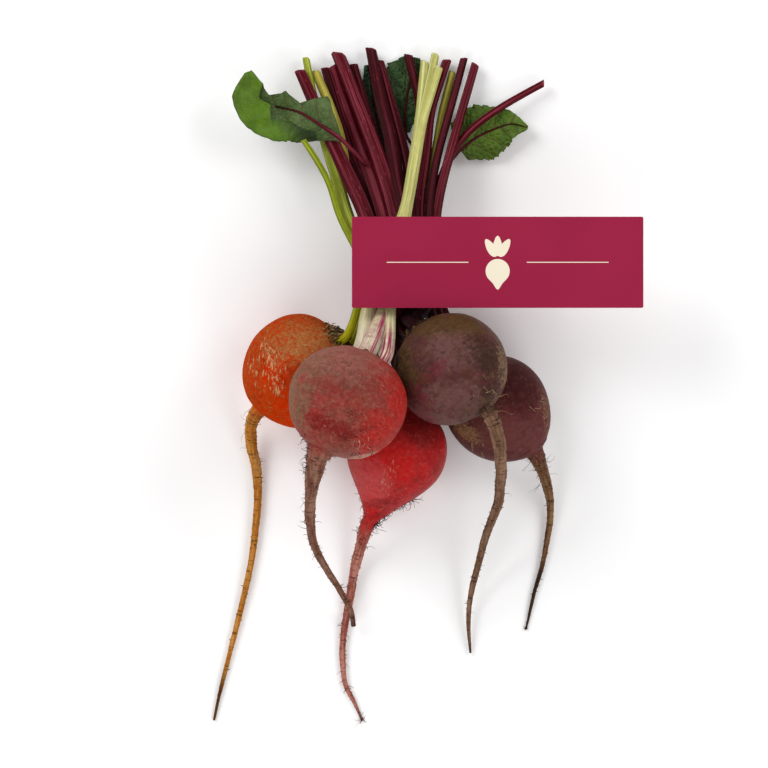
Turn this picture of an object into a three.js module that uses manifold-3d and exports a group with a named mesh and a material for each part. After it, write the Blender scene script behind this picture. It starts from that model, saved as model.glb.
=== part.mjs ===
// A bunch of five beetroots lying on its side: round roots with long taproots, leaf stalks cut
// short with three small leaves still on, and a card label whose strap ties the stalks together.
// Millimetres. +Y runs from the roots to the cut ends of the stalks, +Z is up from the table.
import * as THREE from 'three';
import { mergeGeometries, mergeVertices } from 'three/addons/utils/BufferGeometryUtils.js';
import Module from 'manifold-3d';

const wasm = await Module();
wasm.setup();

// ---- driving dimensions ----
const GAP = 0.3; // clearance between pieces that lie against each other
const BULB_SIDES = 20; // facets round a beet
const BULB_RINGS = 13; // rings from the crown to the start of the taproot
const TAIL_RINGS = 15; // rings along a taproot
const CROWN_RADIUS = 8.5; // flat top of a beet, where the stalks grow
const SQUARENESS = 2.2; // exponent of the round shoulder between the crown and the widest place
const LUMP = 0.012; // how far a beet departs from round, as a share of its radius
const CROWN_HEIGHT = 4; // height of the disc that the stalk bases grow together in
const STALK_SIDES = 8;
const STALK_RINGS = 15; // rings along a stalk
const PILE_STATIONS = 26; // places where a stalk is laid on those below it
const NECK_HEIGHT = 27; // lowest stalk centres above the table at the neck, under the label
const FORKED = 'dusky'; // the beet whose stalks are branches of one forked stalk
const FALL_FROM = 62; // above the neck the stalks come down between these two places along Y ...
const FALL_TO = 183; // ... a little past their cut ends
const FAN_REST = 2.6; // height of the cut ends above the table, over the lowest leaf
const PILE_SLACK = 0.5; // extra room between piled stalks, for their bends
const FORK_SLACK = 1.5; // the same under the forked stalk, which climbs steeply
const BLADE = 0.8; // thickness of a leaf
const BLADE_ALONG = 16; // leaf cells from base to tip
const BLADE_ACROSS = 8; // leaf cells from edge to edge
const TEETH_TURNS = 7.5; // toothing waves along a leaf's edge
const RUFFLE_TURNS = 3; // larger waves up and down along a leaf's edge
const CARD = { left: -16.5, right: 133.3, bottom: 39.1, top: 86, height: 58, thick: 0.8 };
const STRAP = { left: -16, right: 34, bottom: 22.6, from: 47, to: 60, wall: 0.8, corner: 7 };
const ROOTLETS = 7; // stubby side rootlets on each taproot
const SEED = 20; // seed of every random draw

// Each beet: centre, widest radius, height to width (depth), reach from the centre to the crown
// and to the taproot, how conical the root side is, and the way it points, towards the crown.
// The tail is the taproot's route, and its radii run from the shoulder to the tip.
const BEETS = {
  golden: {
    color: 0xc4551d,
    centre: [-43.7, 6.2, 29.2],
    radius: 29.8,
    depth: 1.0,
    crownReach: 27,
    rootReach: 29,
    taper: 0.52,
    crownwards: [19.8, 15, 6.6],
    tail: [
      [-68.3, -18, 16], [-69.8, -30, 9], [-66.7, -47, 4.2], [-66.8, -68, 3], [-70.2, -95, 2.6],
      [-75.7, -120, 2.2], [-81.5, -143, 1.8], [-86.8, -164, 1.5], [-89.5, -177, 1],
    ],
    radii: [3.4, 2.9, 2.3, 1.9, 1.7, 1.5, 1.35, 1.1, 0.6],
  },
  dusky: {
    color: 0x7c3a33,
    centre: [-18.9, -9.2, 81],
    radius: 30.4,
    depth: 0.82,
    crownReach: 27,
    rootReach: 28.5,
    taper: 0.52,
    crownwards: [11.7, 25.5, -15],
    tail: [
      [-33.8, -36.5, 88.5], [-36.2, -44, 84], [-38.3, -55, 72], [-38.6, -69, 56], [-36.2, -83.4, 41],
      [-30.2, -95.8, 28], [-22.5, -108.9, 16], [-17.3, -119, 10], [-16, -127, 6],
    ],
    radii: [6.2, 4.2, 3.1, 2.6, 2.2, 2, 1.7, 1.5, 1.2],
  },
  scarlet: {
    color: 0xa51a2b,
    centre: [6.5, -34.5, 23.1],
    radius: 26.4,
    depth: 0.9,
    crownReach: 24,
    rootReach: 43,
    taper: 1.02,
    crownwards: [14, 38, 0],
    tail: [
      [-10.5, -79, 14], [-13, -86, 8.5], [-15.8, -99, 4.4], [-18.4, -115, 2.8], [-21.3, -132, 2.2],
      [-21.8, -146, 1.9], [-20, -159, 1.6], [-15.8, -167, 1.4], [-11.6, -176.8, 0.9],
    ],
    radii: [5, 3.7, 2.5, 2.2, 1.9, 1.7, 1.4, 1.2, 0.5],
  },
  violet: {
    color: 0x4a2430,
    centre: [34.9, 6.7, 60.5],
    radius: 29.3,
    depth: 0.82,
    crownReach: 27,
    rootReach: 28,
    taper: 0.52,
    crownwards: [-19, 20, -11.5],
    tail: [
      [53.3, -14.5, 73], [56.8, -22, 73], [59.4, -33, 64.5], [60.3, -48.5, 50], [59.1, -62, 38],
      [53.6, -77.6, 26], [49.7, -93, 16], [45.9, -109, 9], [44.4, -125, 4.5], [45.5, -141.5, 1.6],
    ],
    radii: [3.8, 3.5, 3, 2.7, 2.4, 2.1, 1.8, 1.5, 1.2, 0.6],
  },
  plum: {
    color: 0x5a2a35,
    centre: [59.3, -12.6, 21.4],
    radius: 26.9,
    depth: 0.82,
    crownReach: 25,
    rootReach: 30,
    taper: 0.6,
    crownwards: [-20, 26, 0],
    tail: [
      [79, -36.5, 18], [82.2, -43, 13.5], [85.8, -54, 8.5], [87.5, -67, 4.6], [86.2, -79.4, 3],
      [83.1, -95.7, 2.2], [78.9, -110.5, 1.6], [74.7, -129, 0.9],
    ],
    radii: [3.4, 2.9, 2.1, 1.7, 1.4, 1.1, 0.9, 0.5],
  },
};

// Stalks from the lowest in the pile to the highest. plan is the route seen from above, from the
// cut end to the neck; radii are at the cut end, the neck and the crown; slot is the place round
// the crown, in turns; slant tilts the cut; rise lifts the cut end clear of what lies under it.
const STALKS = [
  {
    beet: 'plum', radii: [1.6, 1.8, 2.6], slot: 0, slant: 0.5,
    plan: [[84, 158], [61, 145], [43, 131], [34, 118], [28, 102], [25.5, 87], [29, 63], [30, 40]],
  },
  {
    beet: 'plum', radii: [2, 2.2, 2.8], slot: 0.25, slant: 0.3,
    plan: [[48, 168], [40.3, 141.5], [33.5, 117], [30.4, 105], [27, 87], [27.5, 63], [27, 40]],
  },
  {
    beet: 'plum', radii: [1.8, 1.8, 2.4], slot: 0.75, slant: 0.2,
    plan: [[36, 164], [30, 140], [27, 122], [19, 87], [20, 63], [21, 40]],
  },
  {
    beet: 'plum', radii: [1.8, 1.9, 2.6], slot: 0.5, slant: -0.3,
    plan: [[42, 171], [34, 141.5], [27.4, 117], [23, 87], [23.5, 63], [24, 40]],
  },
  {
    beet: 'scarlet', radii: [1.8, 1.9, 2.6], slot: 0, slant: 0.2,
    plan: [[-16, 168], [-7, 136], [1, 111], [8, 87], [11, 63], [10, 40]],
  },
  {
    beet: 'scarlet', radii: [1.9, 2, 2.8], slot: 0.6, slant: 0.2,
    plan: [[-31, 166], [-25, 145], [-16, 116], [-4, 92], [1, 63], [-1, 40]],
  },
  {
    beet: 'golden', radii: [2.2, 2.2, 2.2], slot: 0.75, slant: 0.3,
    plan: [[-36, 164], [-26.6, 141], [-22.3, 127], [-20, 113], [-14, 98], [-10, 87], [-8, 63], [-8, 40]],
  },
  {
    beet: 'golden', radii: [1.7, 3.2, 2.4], slot: 0, slant: 0.3,
    plan: [[-41, 171], [-36.5, 148], [-29.5, 122], [-24, 105], [-19, 87], [-9, 63], [-10, 40]],
  },
  {
    beet: 'scarlet', radii: [2.4, 3, 3.2], slot: 0.45, slant: 0.3,
    plan: [[-44, 164], [-25.8, 124], [-14, 98.7], [-9, 87], [-3, 63], [-3, 40]],
  },
  {
    beet: 'scarlet', radii: [1.9, 2.5, 2.8], slot: 0.2, slant: -0.2,
    plan: [[-27, 167], [-19, 142.5], [-11.8, 122], [-5.4, 105], [0, 87], [5, 63], [3, 40]],
  },
  {
    beet: 'scarlet', radii: [2.9, 3, 3.2], slot: 0.8, slant: 0.7,
    plan: [[-24, 173], [-12, 142], [-4, 121], [6, 87], [9, 63], [7, 40]],
  },
  {
    beet: 'violet', radii: [1.8, 1.9, 2.4], slot: 0.2, slant: 0.4,
    plan: [[12.8, 173], [15, 162], [18.5, 150], [19, 135], [17, 110], [14, 87], [16, 63], [18, 40]],
  },
  {
    beet: 'violet', radii: [2.1, 2.2, 2.8], slot: 0, slant: -0.3,
    plan: [[33, 170], [24, 142], [22, 121], [18, 87], [22, 63], [22, 40]],
  },
  {
    beet: 'violet', radii: [1.7, 1.8, 2.4], slot: 0.4, slant: 0.4,
    plan: [[-2, 170], [8, 133], [12, 116], [15.5, 87], [18, 63], [18, 40]],
  },
  {
    beet: 'violet', radii: [2.3, 2.6, 3], slot: 0.6, slant: 0.4,
    plan: [[-7, 176], [-1.4, 148], [3.4, 129], [7, 106], [11, 87], [13, 63], [15, 40]],
  },
  {
    beet: 'dusky', radii: [1.9, 2.2, 2.8], slot: 0.05, slant: 0.2,
    plan: [[29, 166], [24.5, 151], [20.6, 138], [17, 116], [11.8, 87], [9, 63], [5, 40]],
  },
  {
    beet: 'dusky', radii: [2.1, 2.6, 3.2], slot: 0.3, slant: 0.2,
    plan: [[27, 173], [22.5, 152], [19.5, 138], [16, 116], [10.8, 87], [5, 63], [0.5, 40]],
  },
  {
    beet: 'dusky', radii: [2.2, 2.7, 3.4], slot: 0.6, slant: 0.3,
    plan: [[21.5, 169], [20, 152], [18.4, 138], [15.2, 116], [9.8, 87], [-1, 63], [-7.5, 40]],
  },
  {
    beet: 'golden', radii: [1.4, 1.7, 2], slot: 0.25, slant: 0.2, rise: 15,
    plan: [[-42, 127], [-35.3, 117], [-28.7, 105], [-23, 87], [-13, 62], [-14, 40]],
  },
];

// Leaves: stalk is the stalk in the list above that the petiole grows from, at a given y; midrib is
// the route on the blade; left and right are the half widths from base to tip, seen from the base,
// and their lifts are how far the two edges curl up. rib is the midrib's radius at the base.
const LEAVES = {
  left: {
    color: 0x557a37,
    stalk: 9,
    from: 119,
    petiole: [[-13, 120, 26.5], [-18, 123, 31]],
    midrib: [
      [-22, 127, 30.5], [-32, 134, 29], [-44, 141.5, 25], [-57, 145, 19], [-66, 151, 18], [-71, 163, 22],
    ],
    left: [2, 10, 15, 17, 18, 17, 12, 2],
    right: [1.5, 12, 8, 9.5, 4.5, 5, 6, 2],
    liftLeft: [-3, -5, -4, -1, 5, 9, 7, 0],
    liftRight: [-1, -1, 0, 1, 3, 5, 4, 0],
    ruffle: 1.1,
    teeth: 0.06,
    rib: 1.5,
  },
  right: {
    color: 0x4d7434,
    stalk: 0,
    from: 113,
    petiole: [[37, 119, 12.6]],
    midrib: [[40, 122.5, 9.6], [48, 129, 7.6], [57, 133.5, 6.6], [67, 136.5, 6.6], [75.5, 134.5, 7.5]],
    left: [6, 14, 16, 16, 13, 9, 4, 1],
    right: [6, 11, 14, 14, 12, 10, 7, 1],
    liftLeft: [-1, -2, -3.5, -3.5, -3, -1, 0, 0],
    liftRight: [-2, -3, -3, -2, 0, 1, 1, 0],
    ruffle: 0.8,
    teeth: 0.07,
    rib: 1.2,
  },
  centre: {
    color: 0x2c4a26,
    stalk: 11,
    from: 121,
    petiole: [[13, 128, 8]],
    midrib: [[11.5, 132, 3.2], [11, 141, 1.7], [12, 151, 0.9], [14, 161, 0.8], [16, 172, 1.3]],
    left: [2, 7, 11, 14, 15.5, 15, 13, 5],
    right: [2, 5, 6, 6, 6, 5, 5, 3],
    liftLeft: [0, 0, 0, 0, 0, 0, 0, 0],
    liftRight: [0, 0, 0, 0, 0, 0, 0, 0],
    ruffle: 0.3,
    teeth: 0.05,
    rib: 1,
  },
};
const LABEL_COLOR = 0x982041;
const STALK_COLORS = {
  golden: 0x9aa53c, dusky: 0xc9cf96, scarlet: 0x5b1230, violet: 0x6a1434, plum: 0x76193a,
};

// ---- small helpers ----

/** Repeatable random numbers from 0 to 1 (mulberry32). */
function seededRandom(seed) {
  let state = seed;
  return () => {
    state = (state + 0x6d2b79f5) | 0;
    let t = Math.imul(state ^ (state >>> 15), 1 | state);
    t = (t + Math.imul(t ^ (t >>> 7), 61 | t)) ^ t;
    return ((t ^ (t >>> 14)) >>> 0) / 4294967296;
  };
}

/** A closed geometry as a solid: equal corners merged, empty triangles dropped. */
function toSolid(geometry) {
  geometry.deleteAttribute('normal');
  geometry.deleteAttribute('uv');
  const merged = mergeVertices(geometry, 1e-4);
  const index = merged.index.array;
  const triangles = [];
  for (let i = 0; i < index.length; i += 3) {
    const [a, b, c] = [index[i], index[i + 1], index[i + 2]];
    if (a !== b && b !== c && c !== a) triangles.push(a, b, c);
  }
  return new wasm.Manifold(new wasm.Mesh({
    numProp: 3,
    vertProperties: Float32Array.from(merged.attributes.position.array),
    triVerts: Uint32Array.from(triangles),
  }));
}

/** A named mesh of a solid. */
function toMesh(solid, name, color, roughness) {
  const mesh = solid.getMesh();
  const geometry = new THREE.BufferGeometry();
  geometry.setAttribute('position', new THREE.BufferAttribute(mesh.vertProperties, 3));
  geometry.setIndex(new THREE.BufferAttribute(mesh.triVerts, 1));
  const material = new THREE.MeshStandardMaterial({ color, roughness, metalness: 0 });
  const result = new THREE.Mesh(geometry, material);
  result.name = name;
  return result;
}

/** A smooth curve through points. */
function smoothCurve(points) {
  return new THREE.CatmullRomCurve3(points.map((p) => new THREE.Vector3(...p)), false, 'centripetal');
}

/** Value at t (0 to 1) of evenly spaced stations, joined by straight lines. */
function stationValue(stations, t) {
  const place = THREE.MathUtils.clamp(t, 0, 1) * (stations.length - 1);
  const low = Math.min(Math.floor(place), stations.length - 2);
  return THREE.MathUtils.lerp(stations[low], stations[low + 1], place - low);
}

/** Axes across a curve: side is level, up is square to it and to the curve. */
function crossAxes(tangent) {
  const side = new THREE.Vector3().crossVectors(tangent, new THREE.Vector3(0, 0, 1)).normalize();
  const up = new THREE.Vector3().crossVectors(side, tangent);
  return { side, up };
}

/** A round body turned on a lathe from rings of {at, radius} and bent along a curve.
 *  at is the distance along the curve; shape(offset, ring, angle) may press the cross-section. */
function bentLathe(curve, rings, sides, shape) {
  const length = curve.getLength();
  const profile = [new THREE.Vector2(0, 0)];
  rings.forEach((ring, i) => profile.push(new THREE.Vector2(ring.radius, i)));
  profile.push(new THREE.Vector2(0, rings.length - 1));
  const geometry = new THREE.LatheGeometry(profile, sides);
  const position = geometry.attributes.position;
  const offset = new THREE.Vector3();
  for (let i = 0; i < position.count; i += 1) {
    const ring = rings[Math.round(position.getY(i))];
    const u = THREE.MathUtils.clamp(ring.at / length, 0, 1);
    const { side, up } = crossAxes(curve.getTangentAt(u));
    offset.set(position.getX(i), 0, position.getZ(i));
    if (shape) shape(offset, ring);
    const place = curve.getPointAt(u);
    place.addScaledVector(side, offset.x).addScaledVector(up, offset.z);
    place.addScaledVector(curve.getTangentAt(u), offset.y);
    position.setXYZ(i, place.x, place.y, place.z);
  }
  return toSolid(geometry);
}

/** A big block under the table top, to trim a piece flat where it rests. */
function belowTable() {
  const block = new THREE.BoxGeometry(600, 600, 40);
  block.translate(0, 0, -20);
  return toSolid(block);
}

// ---- beets ----

/** Unit vector from a beet's centre to its crown. */
function crownAxis(beet) {
  return new THREE.Vector3(...beet.crownwards).normalize();
}

/** Place on a beet's axis, a distance from its centre towards the crown. */
function onAxis(beet, distance) {
  return new THREE.Vector3(...beet.centre).addScaledVector(crownAxis(beet), distance);
}

/** Radius of the beet's round body, d from its centre (negative towards the crown). */
function bodyRadius(beet, d) {
  if (d >= beet.rootReach) return 0;
  if (d > 0) return beet.radius * (1 - (d / beet.rootReach) ** 2) ** beet.taper;
  const edge = (CROWN_RADIUS / beet.radius) ** SQUARENESS;
  const share = (-d / beet.crownReach) * (1 - edge) ** (1 / SQUARENESS);
  return beet.radius * (1 - share ** SQUARENESS) ** (1 / SQUARENESS);
}

/** A beet with its taproot and side rootlets. */
function beetRoot(beet, random) {
  const crown = onAxis(beet, beet.crownReach);
  const curve = smoothCurve([crown.toArray(), beet.centre, ...beet.tail]);
  const length = curve.getLength();
  const tailLength = length - beet.crownReach - beet.rootReach;
  const rings = [];
  const addRing = (d) => {
    const along = THREE.MathUtils.clamp((d - beet.rootReach) / tailLength, 0, 1);
    const body = bodyRadius(beet, d);
    const tail = d > 0 ? stationValue(beet.radii, along) : 0;
    const roundness = Math.min(1, body / (0.5 * beet.radius));
    rings.push({ at: d + beet.crownReach, radius: Math.cbrt(body ** 3 + tail ** 3), roundness });
  };
  for (let i = 0; i <= BULB_RINGS; i += 1) {
    const turn = (i / BULB_RINGS) * Math.PI;
    const reach = turn < Math.PI / 2 ? beet.crownReach : beet.rootReach;
    addRing(-Math.cos(turn) * reach);
  }
  for (let i = 1; i <= TAIL_RINGS; i += 1) {
    addRing(beet.rootReach + tailLength * (i / TAIL_RINGS) ** 1.35);
  }
  const phase = random() * Math.PI * 2;
  const body = bentLathe(curve, rings, BULB_SIDES, (offset, ring) => {
    const angle = Math.atan2(offset.x, offset.z);
    const lump = 1 + LUMP * ring.roundness * Math.cos(3 * angle + phase);
    offset.multiplyScalar(lump);
    offset.z *= THREE.MathUtils.lerp(1, beet.depth, ring.roundness);
  });
  const pieces = [body];
  for (let i = 0; i < ROOTLETS; i += 1) {
    const share = 0.06 + (0.8 * (i + random())) / ROOTLETS;
    pieces.push(rootlet(beet, curve, (length - tailLength + share * tailLength) / length, share, random));
  }
  return wasm.Manifold.union(pieces).subtract(belowTable());
}

/** A stubby side rootlet standing out of the taproot. */
function rootlet(beet, curve, u, share, random) {
  const tangent = curve.getTangentAt(u);
  const { side, up } = crossAxes(tangent);
  const turn = random() * Math.PI * 2;
  const out = side.multiplyScalar(Math.cos(turn)).addScaledVector(up, Math.abs(Math.sin(turn)));
  out.addScaledVector(tangent, 0.5).normalize();
  const length = 4 + 4 * random();
  const cone = new THREE.ConeGeometry(0.3 * stationValue(beet.radii, share) + 0.2, length, 5);
  cone.translate(0, length / 2, 0);
  cone.applyQuaternion(new THREE.Quaternion().setFromUnitVectors(new THREE.Vector3(0, 1, 0), out));
  const foot = curve.getPointAt(u);
  cone.translate(foot.x, foot.y, foot.z);
  return toSolid(cone);
}

// ---- stalks ----

/** Height of a stalk's centre where nothing lies under it: level at the neck, down to the table. */
function restingHeight(y, radius) {
  const fall = THREE.MathUtils.smootherstep(y, FALL_FROM, FALL_TO);
  return THREE.MathUtils.lerp(NECK_HEIGHT, radius + FAN_REST, fall);
}

/** Place of a stalk seen from above at a given y, with its lean. */
function planAt(route, y) {
  const places = route.places;
  const count = places.length;
  let i = 1;
  while (i < count - 1 && places[i].y > y) i += 1;
  const [a, b] = [places[i - 1], places[i]];
  const share = THREE.MathUtils.clamp((a.y - y) / (a.y - b.y), 0, 1);
  return {
    x: THREE.MathUtils.lerp(a.x, b.x, share),
    z: THREE.MathUtils.lerp(a.z, b.z, share),
    radius: THREE.MathUtils.lerp(a.radius, b.radius, share),
    lean: Math.hypot(1, (b.x - a.x) / (b.y - a.y)),
    within: y <= places[0].y + 2 && y >= places[count - 1].y - 0.1,
  };
}

/** Whether two stalks are branches of one forked stalk, so that they may run into each other. */
function isForked(first, second) {
  return first.beet === FORKED && second.beet === FORKED;
}

/** Lays the stalks on each other, lowest first, and returns their routes from cut end to neck. */
function pileStalks() {
  const routes = [];
  for (const stalk of STALKS) {
    const plan = smoothCurve(stalk.plan.map(([x, y]) => [x, y, 0]));
    const places = plan.getSpacedPoints(PILE_STATIONS).map((p, i) => {
      const radius = stationValue(stalk.radii.slice(0, 2), Math.min(1, (1.25 * i) / PILE_STATIONS));
      const rise = (stalk.rise ?? 0) * (1 - i / PILE_STATIONS) ** 2;
      return { x: p.x, y: p.y, z: restingHeight(p.y, radius) + rise, radius };
    });
    const route = { stalk, places };
    const slack = stalk.beet === FORKED ? FORK_SLACK : PILE_SLACK;
    for (const place of places) {
      const own = planAt(route, place.y);
      for (const lower of routes.filter((each) => !isForked(each.stalk, stalk))) {
        const under = planAt(lower, place.y);
        const reach = place.radius + under.radius + GAP + slack;
        const across = (own.x - under.x) / Math.max(own.lean, under.lean);
        if (under.within && Math.abs(across) < reach) {
          place.z = Math.max(place.z, under.z + Math.sqrt(reach ** 2 - across ** 2));
        }
      }
    }
    for (let pass = 0; pass < 12; pass += 1) {
      for (let i = 1; i < places.length - 1; i += 1) {
        places[i].z = Math.max(places[i].z, (places[i - 1].z + places[i + 1].z) / 2 - 0.05);
      }
      const last = places.length - 1;
      places[last].z = Math.max(places[last].z, places[last - 1].z - 0.8);
    }
    routes.push(route);
  }
  return routes;
}

/** One stalk from its cut end to its slot in the crown. */
function stalkRod(route, beet) {
  const axis = crownAxis(beet);
  const { side, up } = crossAxes(axis);
  const turn = route.stalk.slot * Math.PI * 2;
  const slot = side.multiplyScalar(Math.cos(turn)).addScaledVector(up, Math.sin(turn));
  const spread = CROWN_RADIUS - route.stalk.radii[2] - 0.6;
  const base = onAxis(beet, beet.crownReach + GAP + 1).addScaledVector(slot, spread);
  const above = base.clone().addScaledVector(axis, CROWN_HEIGHT + 2);
  const points = route.places.map((p) => [p.x, p.y, p.z]);
  const curve = smoothCurve([...points, above.toArray(), base.toArray()]);
  const length = curve.getLength();
  const [cut, neck, crown] = route.stalk.radii;
  const neckShare = 1 - above.distanceTo(new THREE.Vector3(...points[points.length - 1])) / length;
  const count = STALK_RINGS;
  const rings = Array.from({ length: count + 1 }, (_, i) => {
    const share = i / count;
    const spanShare = share < neckShare ? share / neckShare : (share - neckShare) / (1 - neckShare);
    const radius = share < neckShare
      ? THREE.MathUtils.lerp(cut, neck, Math.min(1, spanShare * 1.25))
      : THREE.MathUtils.lerp(neck, crown, spanShare);
    return { at: share * length, radius, slant: i === 0 ? route.stalk.slant : 0 };
  });
  return bentLathe(curve, rings, STALK_SIDES, (offset, ring) => {
    offset.y = -ring.slant * offset.x;
  });
}

/** The disc at a beet's crown in which its stalks grow together. */
function crownDisc(beet) {
  const foot = onAxis(beet, beet.crownReach + GAP);
  const tip = onAxis(beet, beet.crownReach + GAP + CROWN_HEIGHT);
  const rings = [
    { at: 0, radius: CROWN_RADIUS },
    { at: CROWN_HEIGHT * 0.5, radius: CROWN_RADIUS - 0.5 },
    { at: CROWN_HEIGHT, radius: CROWN_RADIUS - 3 },
  ];
  return bentLathe(new THREE.LineCurve3(foot, tip), rings, 16);
}

// ---- leaves ----

/** Point in the middle of a leaf's thickness: u from base to tip, v from -1 (right) to 1 (left). */
function bladePoint(leaf, curve, u, v) {
  const tangent = curve.getTangentAt(u);
  const { side } = crossAxes(tangent);
  const [widths, lifts] = v > 0 ? [leaf.left, leaf.liftLeft] : [leaf.right, leaf.liftRight];
  const edge = Math.abs(v);
  const width = stationValue(widths, u) * (1 + leaf.teeth * edge * Math.sin(2 * Math.PI * TEETH_TURNS * u));
  const point = curve.getPointAt(u).addScaledVector(side, -v * width);
  const ends = Math.sin(Math.PI * Math.min(1, u * 1.05 + 0.02));
  point.z += stationValue(lifts, u) * edge ** 1.6;
  point.z += leaf.ruffle * ends * edge ** 2 * Math.sin(2 * Math.PI * RUFFLE_TURNS * u + Math.sign(v));
  return point;
}

/** A leaf blade: a waved sheet of even thickness, split into triangles alike on both faces. */
function leafBlade(leaf) {
  const curve = smoothCurve(leaf.midrib);
  const place = (u, v, half) => {
    const step = 0.01;
    const point = bladePoint(leaf, curve, u, v);
    const ahead = bladePoint(leaf, curve, Math.min(1, u + step), v);
    const along = ahead.sub(bladePoint(leaf, curve, Math.max(0, u - step), v));
    const across = bladePoint(leaf, curve, u, v + step).sub(bladePoint(leaf, curve, u, v - step));
    return point.addScaledVector(along.cross(across).normalize(), half);
  };
  const face = (half) => {
    const geometry = new THREE.PlaneGeometry(1, 2, BLADE_ALONG, BLADE_ACROSS);
    const position = geometry.attributes.position;
    for (let i = 0; i < position.count; i += 1) {
      const point = place(position.getX(i) + 0.5, position.getY(i), half);
      position.setXYZ(i, point.x, point.y, point.z);
    }
    if (half < 0) geometry.index.array.reverse();
    return geometry;
  };
  const around = 2 * (BLADE_ALONG + BLADE_ACROSS);
  const rim = new THREE.PlaneGeometry(around, 1, around, 1);
  const position = rim.attributes.position;
  for (let i = 0; i < position.count; i += 1) {
    const [u, v] = rimPlace(Math.round(position.getX(i) + around / 2));
    const point = place(u, v, position.getY(i) > 0 ? BLADE / 2 : -BLADE / 2);
    position.setXYZ(i, point.x, point.y, point.z);
  }
  rim.index.array.reverse();
  return toSolid(mergeGeometries([face(BLADE / 2), face(-BLADE / 2), rim]));
}

/** Place (u, v) on a leaf's edge after a number of cells, going round it once. */
function rimPlace(step) {
  const [a, b] = [BLADE_ALONG, BLADE_ACROSS];
  const s = step % (2 * (a + b));
  if (s <= a) return [s / a, 1];
  if (s <= a + b) return [1, 1 - (2 * (s - a)) / b];
  if (s <= 2 * a + b) return [1 - (s - a - b) / a, -1];
  return [0, -1 + (2 * (s - 2 * a - b)) / b];
}

/** A leaf's petiole and midrib: out of its stalk, then along the top of the blade. */
function leafRib(leaf, routes) {
  const start = planAt(routes[leaf.stalk], leaf.from);
  const lift = leaf.rib + BLADE / 2 + GAP + 0.1;
  const onBlade = leaf.midrib.slice(0, -1).map(([x, y, z], i) => {
    return [x, y, z + lift - (0.6 * leaf.rib * i) / 5];
  });
  const curve = smoothCurve([[start.x, leaf.from, start.z], ...leaf.petiole, ...onBlade]);
  const length = curve.getLength();
  const rings = Array.from({ length: STALK_RINGS }, (_, i) => {
    const share = i / (STALK_RINGS - 1);
    return { at: share * length, radius: leaf.rib * (1 - 0.6 * share) };
  });
  return bentLathe(curve, rings, STALK_SIDES);
}

// ---- label ----

/** A card with its strap: a loop round the neck of the bunch that ends under the card. */
function cardLabel() {
  const card = new THREE.BoxGeometry(CARD.right - CARD.left, CARD.top - CARD.bottom, CARD.thick);
  card.translate((CARD.left + CARD.right) / 2, (CARD.bottom + CARD.top) / 2, CARD.height + CARD.thick / 2);
  const loop = roundedOutline(new THREE.Shape(), 0);
  loop.holes.push(roundedOutline(new THREE.Path(), STRAP.wall));
  const width = STRAP.to - STRAP.from;
  const strap = new THREE.ExtrudeGeometry(loop, { depth: width, bevelEnabled: false, curveSegments: 6 });
  strap.rotateX(Math.PI / 2);
  strap.translate(0, STRAP.to, 0);
  return toSolid(card).add(toSolid(strap));
}

/** The strap's outline in the XZ plane, moved inwards by an inset. */
function roundedOutline(path, inset) {
  const [left, right] = [STRAP.left + inset, STRAP.right - inset];
  const [bottom, top] = [STRAP.bottom + inset, CARD.height + CARD.thick / 2 - inset];
  const r = STRAP.corner - inset;
  path.moveTo(left + r, bottom);
  path.lineTo(right - r, bottom);
  path.absarc(right - r, bottom + r, r, -Math.PI / 2, 0);
  path.absarc(right - r, top - r, r, 0, Math.PI / 2);
  path.absarc(left + r, top - r, r, Math.PI / 2, Math.PI);
  path.absarc(left + r, bottom + r, r, Math.PI, Math.PI * 1.5);
  return path;
}

// ---- the bunch ----

const random = seededRandom(SEED);
const bunch = new THREE.Group();
for (const [name, beet] of Object.entries(BEETS)) {
  bunch.add(toMesh(beetRoot(beet, random), `root_${name}`, beet.color, 0.6));
}
const routes = pileStalks();
for (const [name, beet] of Object.entries(BEETS)) {
  const rods = routes.filter((route) => route.stalk.beet === name).map((route) => stalkRod(route, beet));
  const leaves = Object.values(LEAVES).filter((leaf) => STALKS[leaf.stalk].beet === name);
  const ribs = leaves.map((leaf) => leafRib(leaf, routes));
  const cluster = wasm.Manifold.union([crownDisc(beet), ...rods, ...ribs]);
  bunch.add(toMesh(cluster, `stalks_${name}`, STALK_COLORS[name], 0.5));
}
for (const [name, leaf] of Object.entries(LEAVES)) {
  bunch.add(toMesh(leafBlade(leaf), `leaf_${name}`, leaf.color, 0.55));
}
bunch.add(toMesh(cardLabel(), 'label', LABEL_COLOR, 0.45));

// the origin is under the middle of the bunch, on the table
const extent = new THREE.Box3().setFromObject(bunch);
const middle = extent.getCenter(new THREE.Vector3());
bunch.position.set(-middle.x, -middle.y, -extent.min.z);

export default bunch;
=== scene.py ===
import sys
import logging
import math
from dataclasses import dataclass, field
from enum import Enum
from typing import Callable, Optional, Sequence, Union

import bmesh
import bpy
import numpy as np
from mathutils import Matrix, Vector, noise


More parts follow.
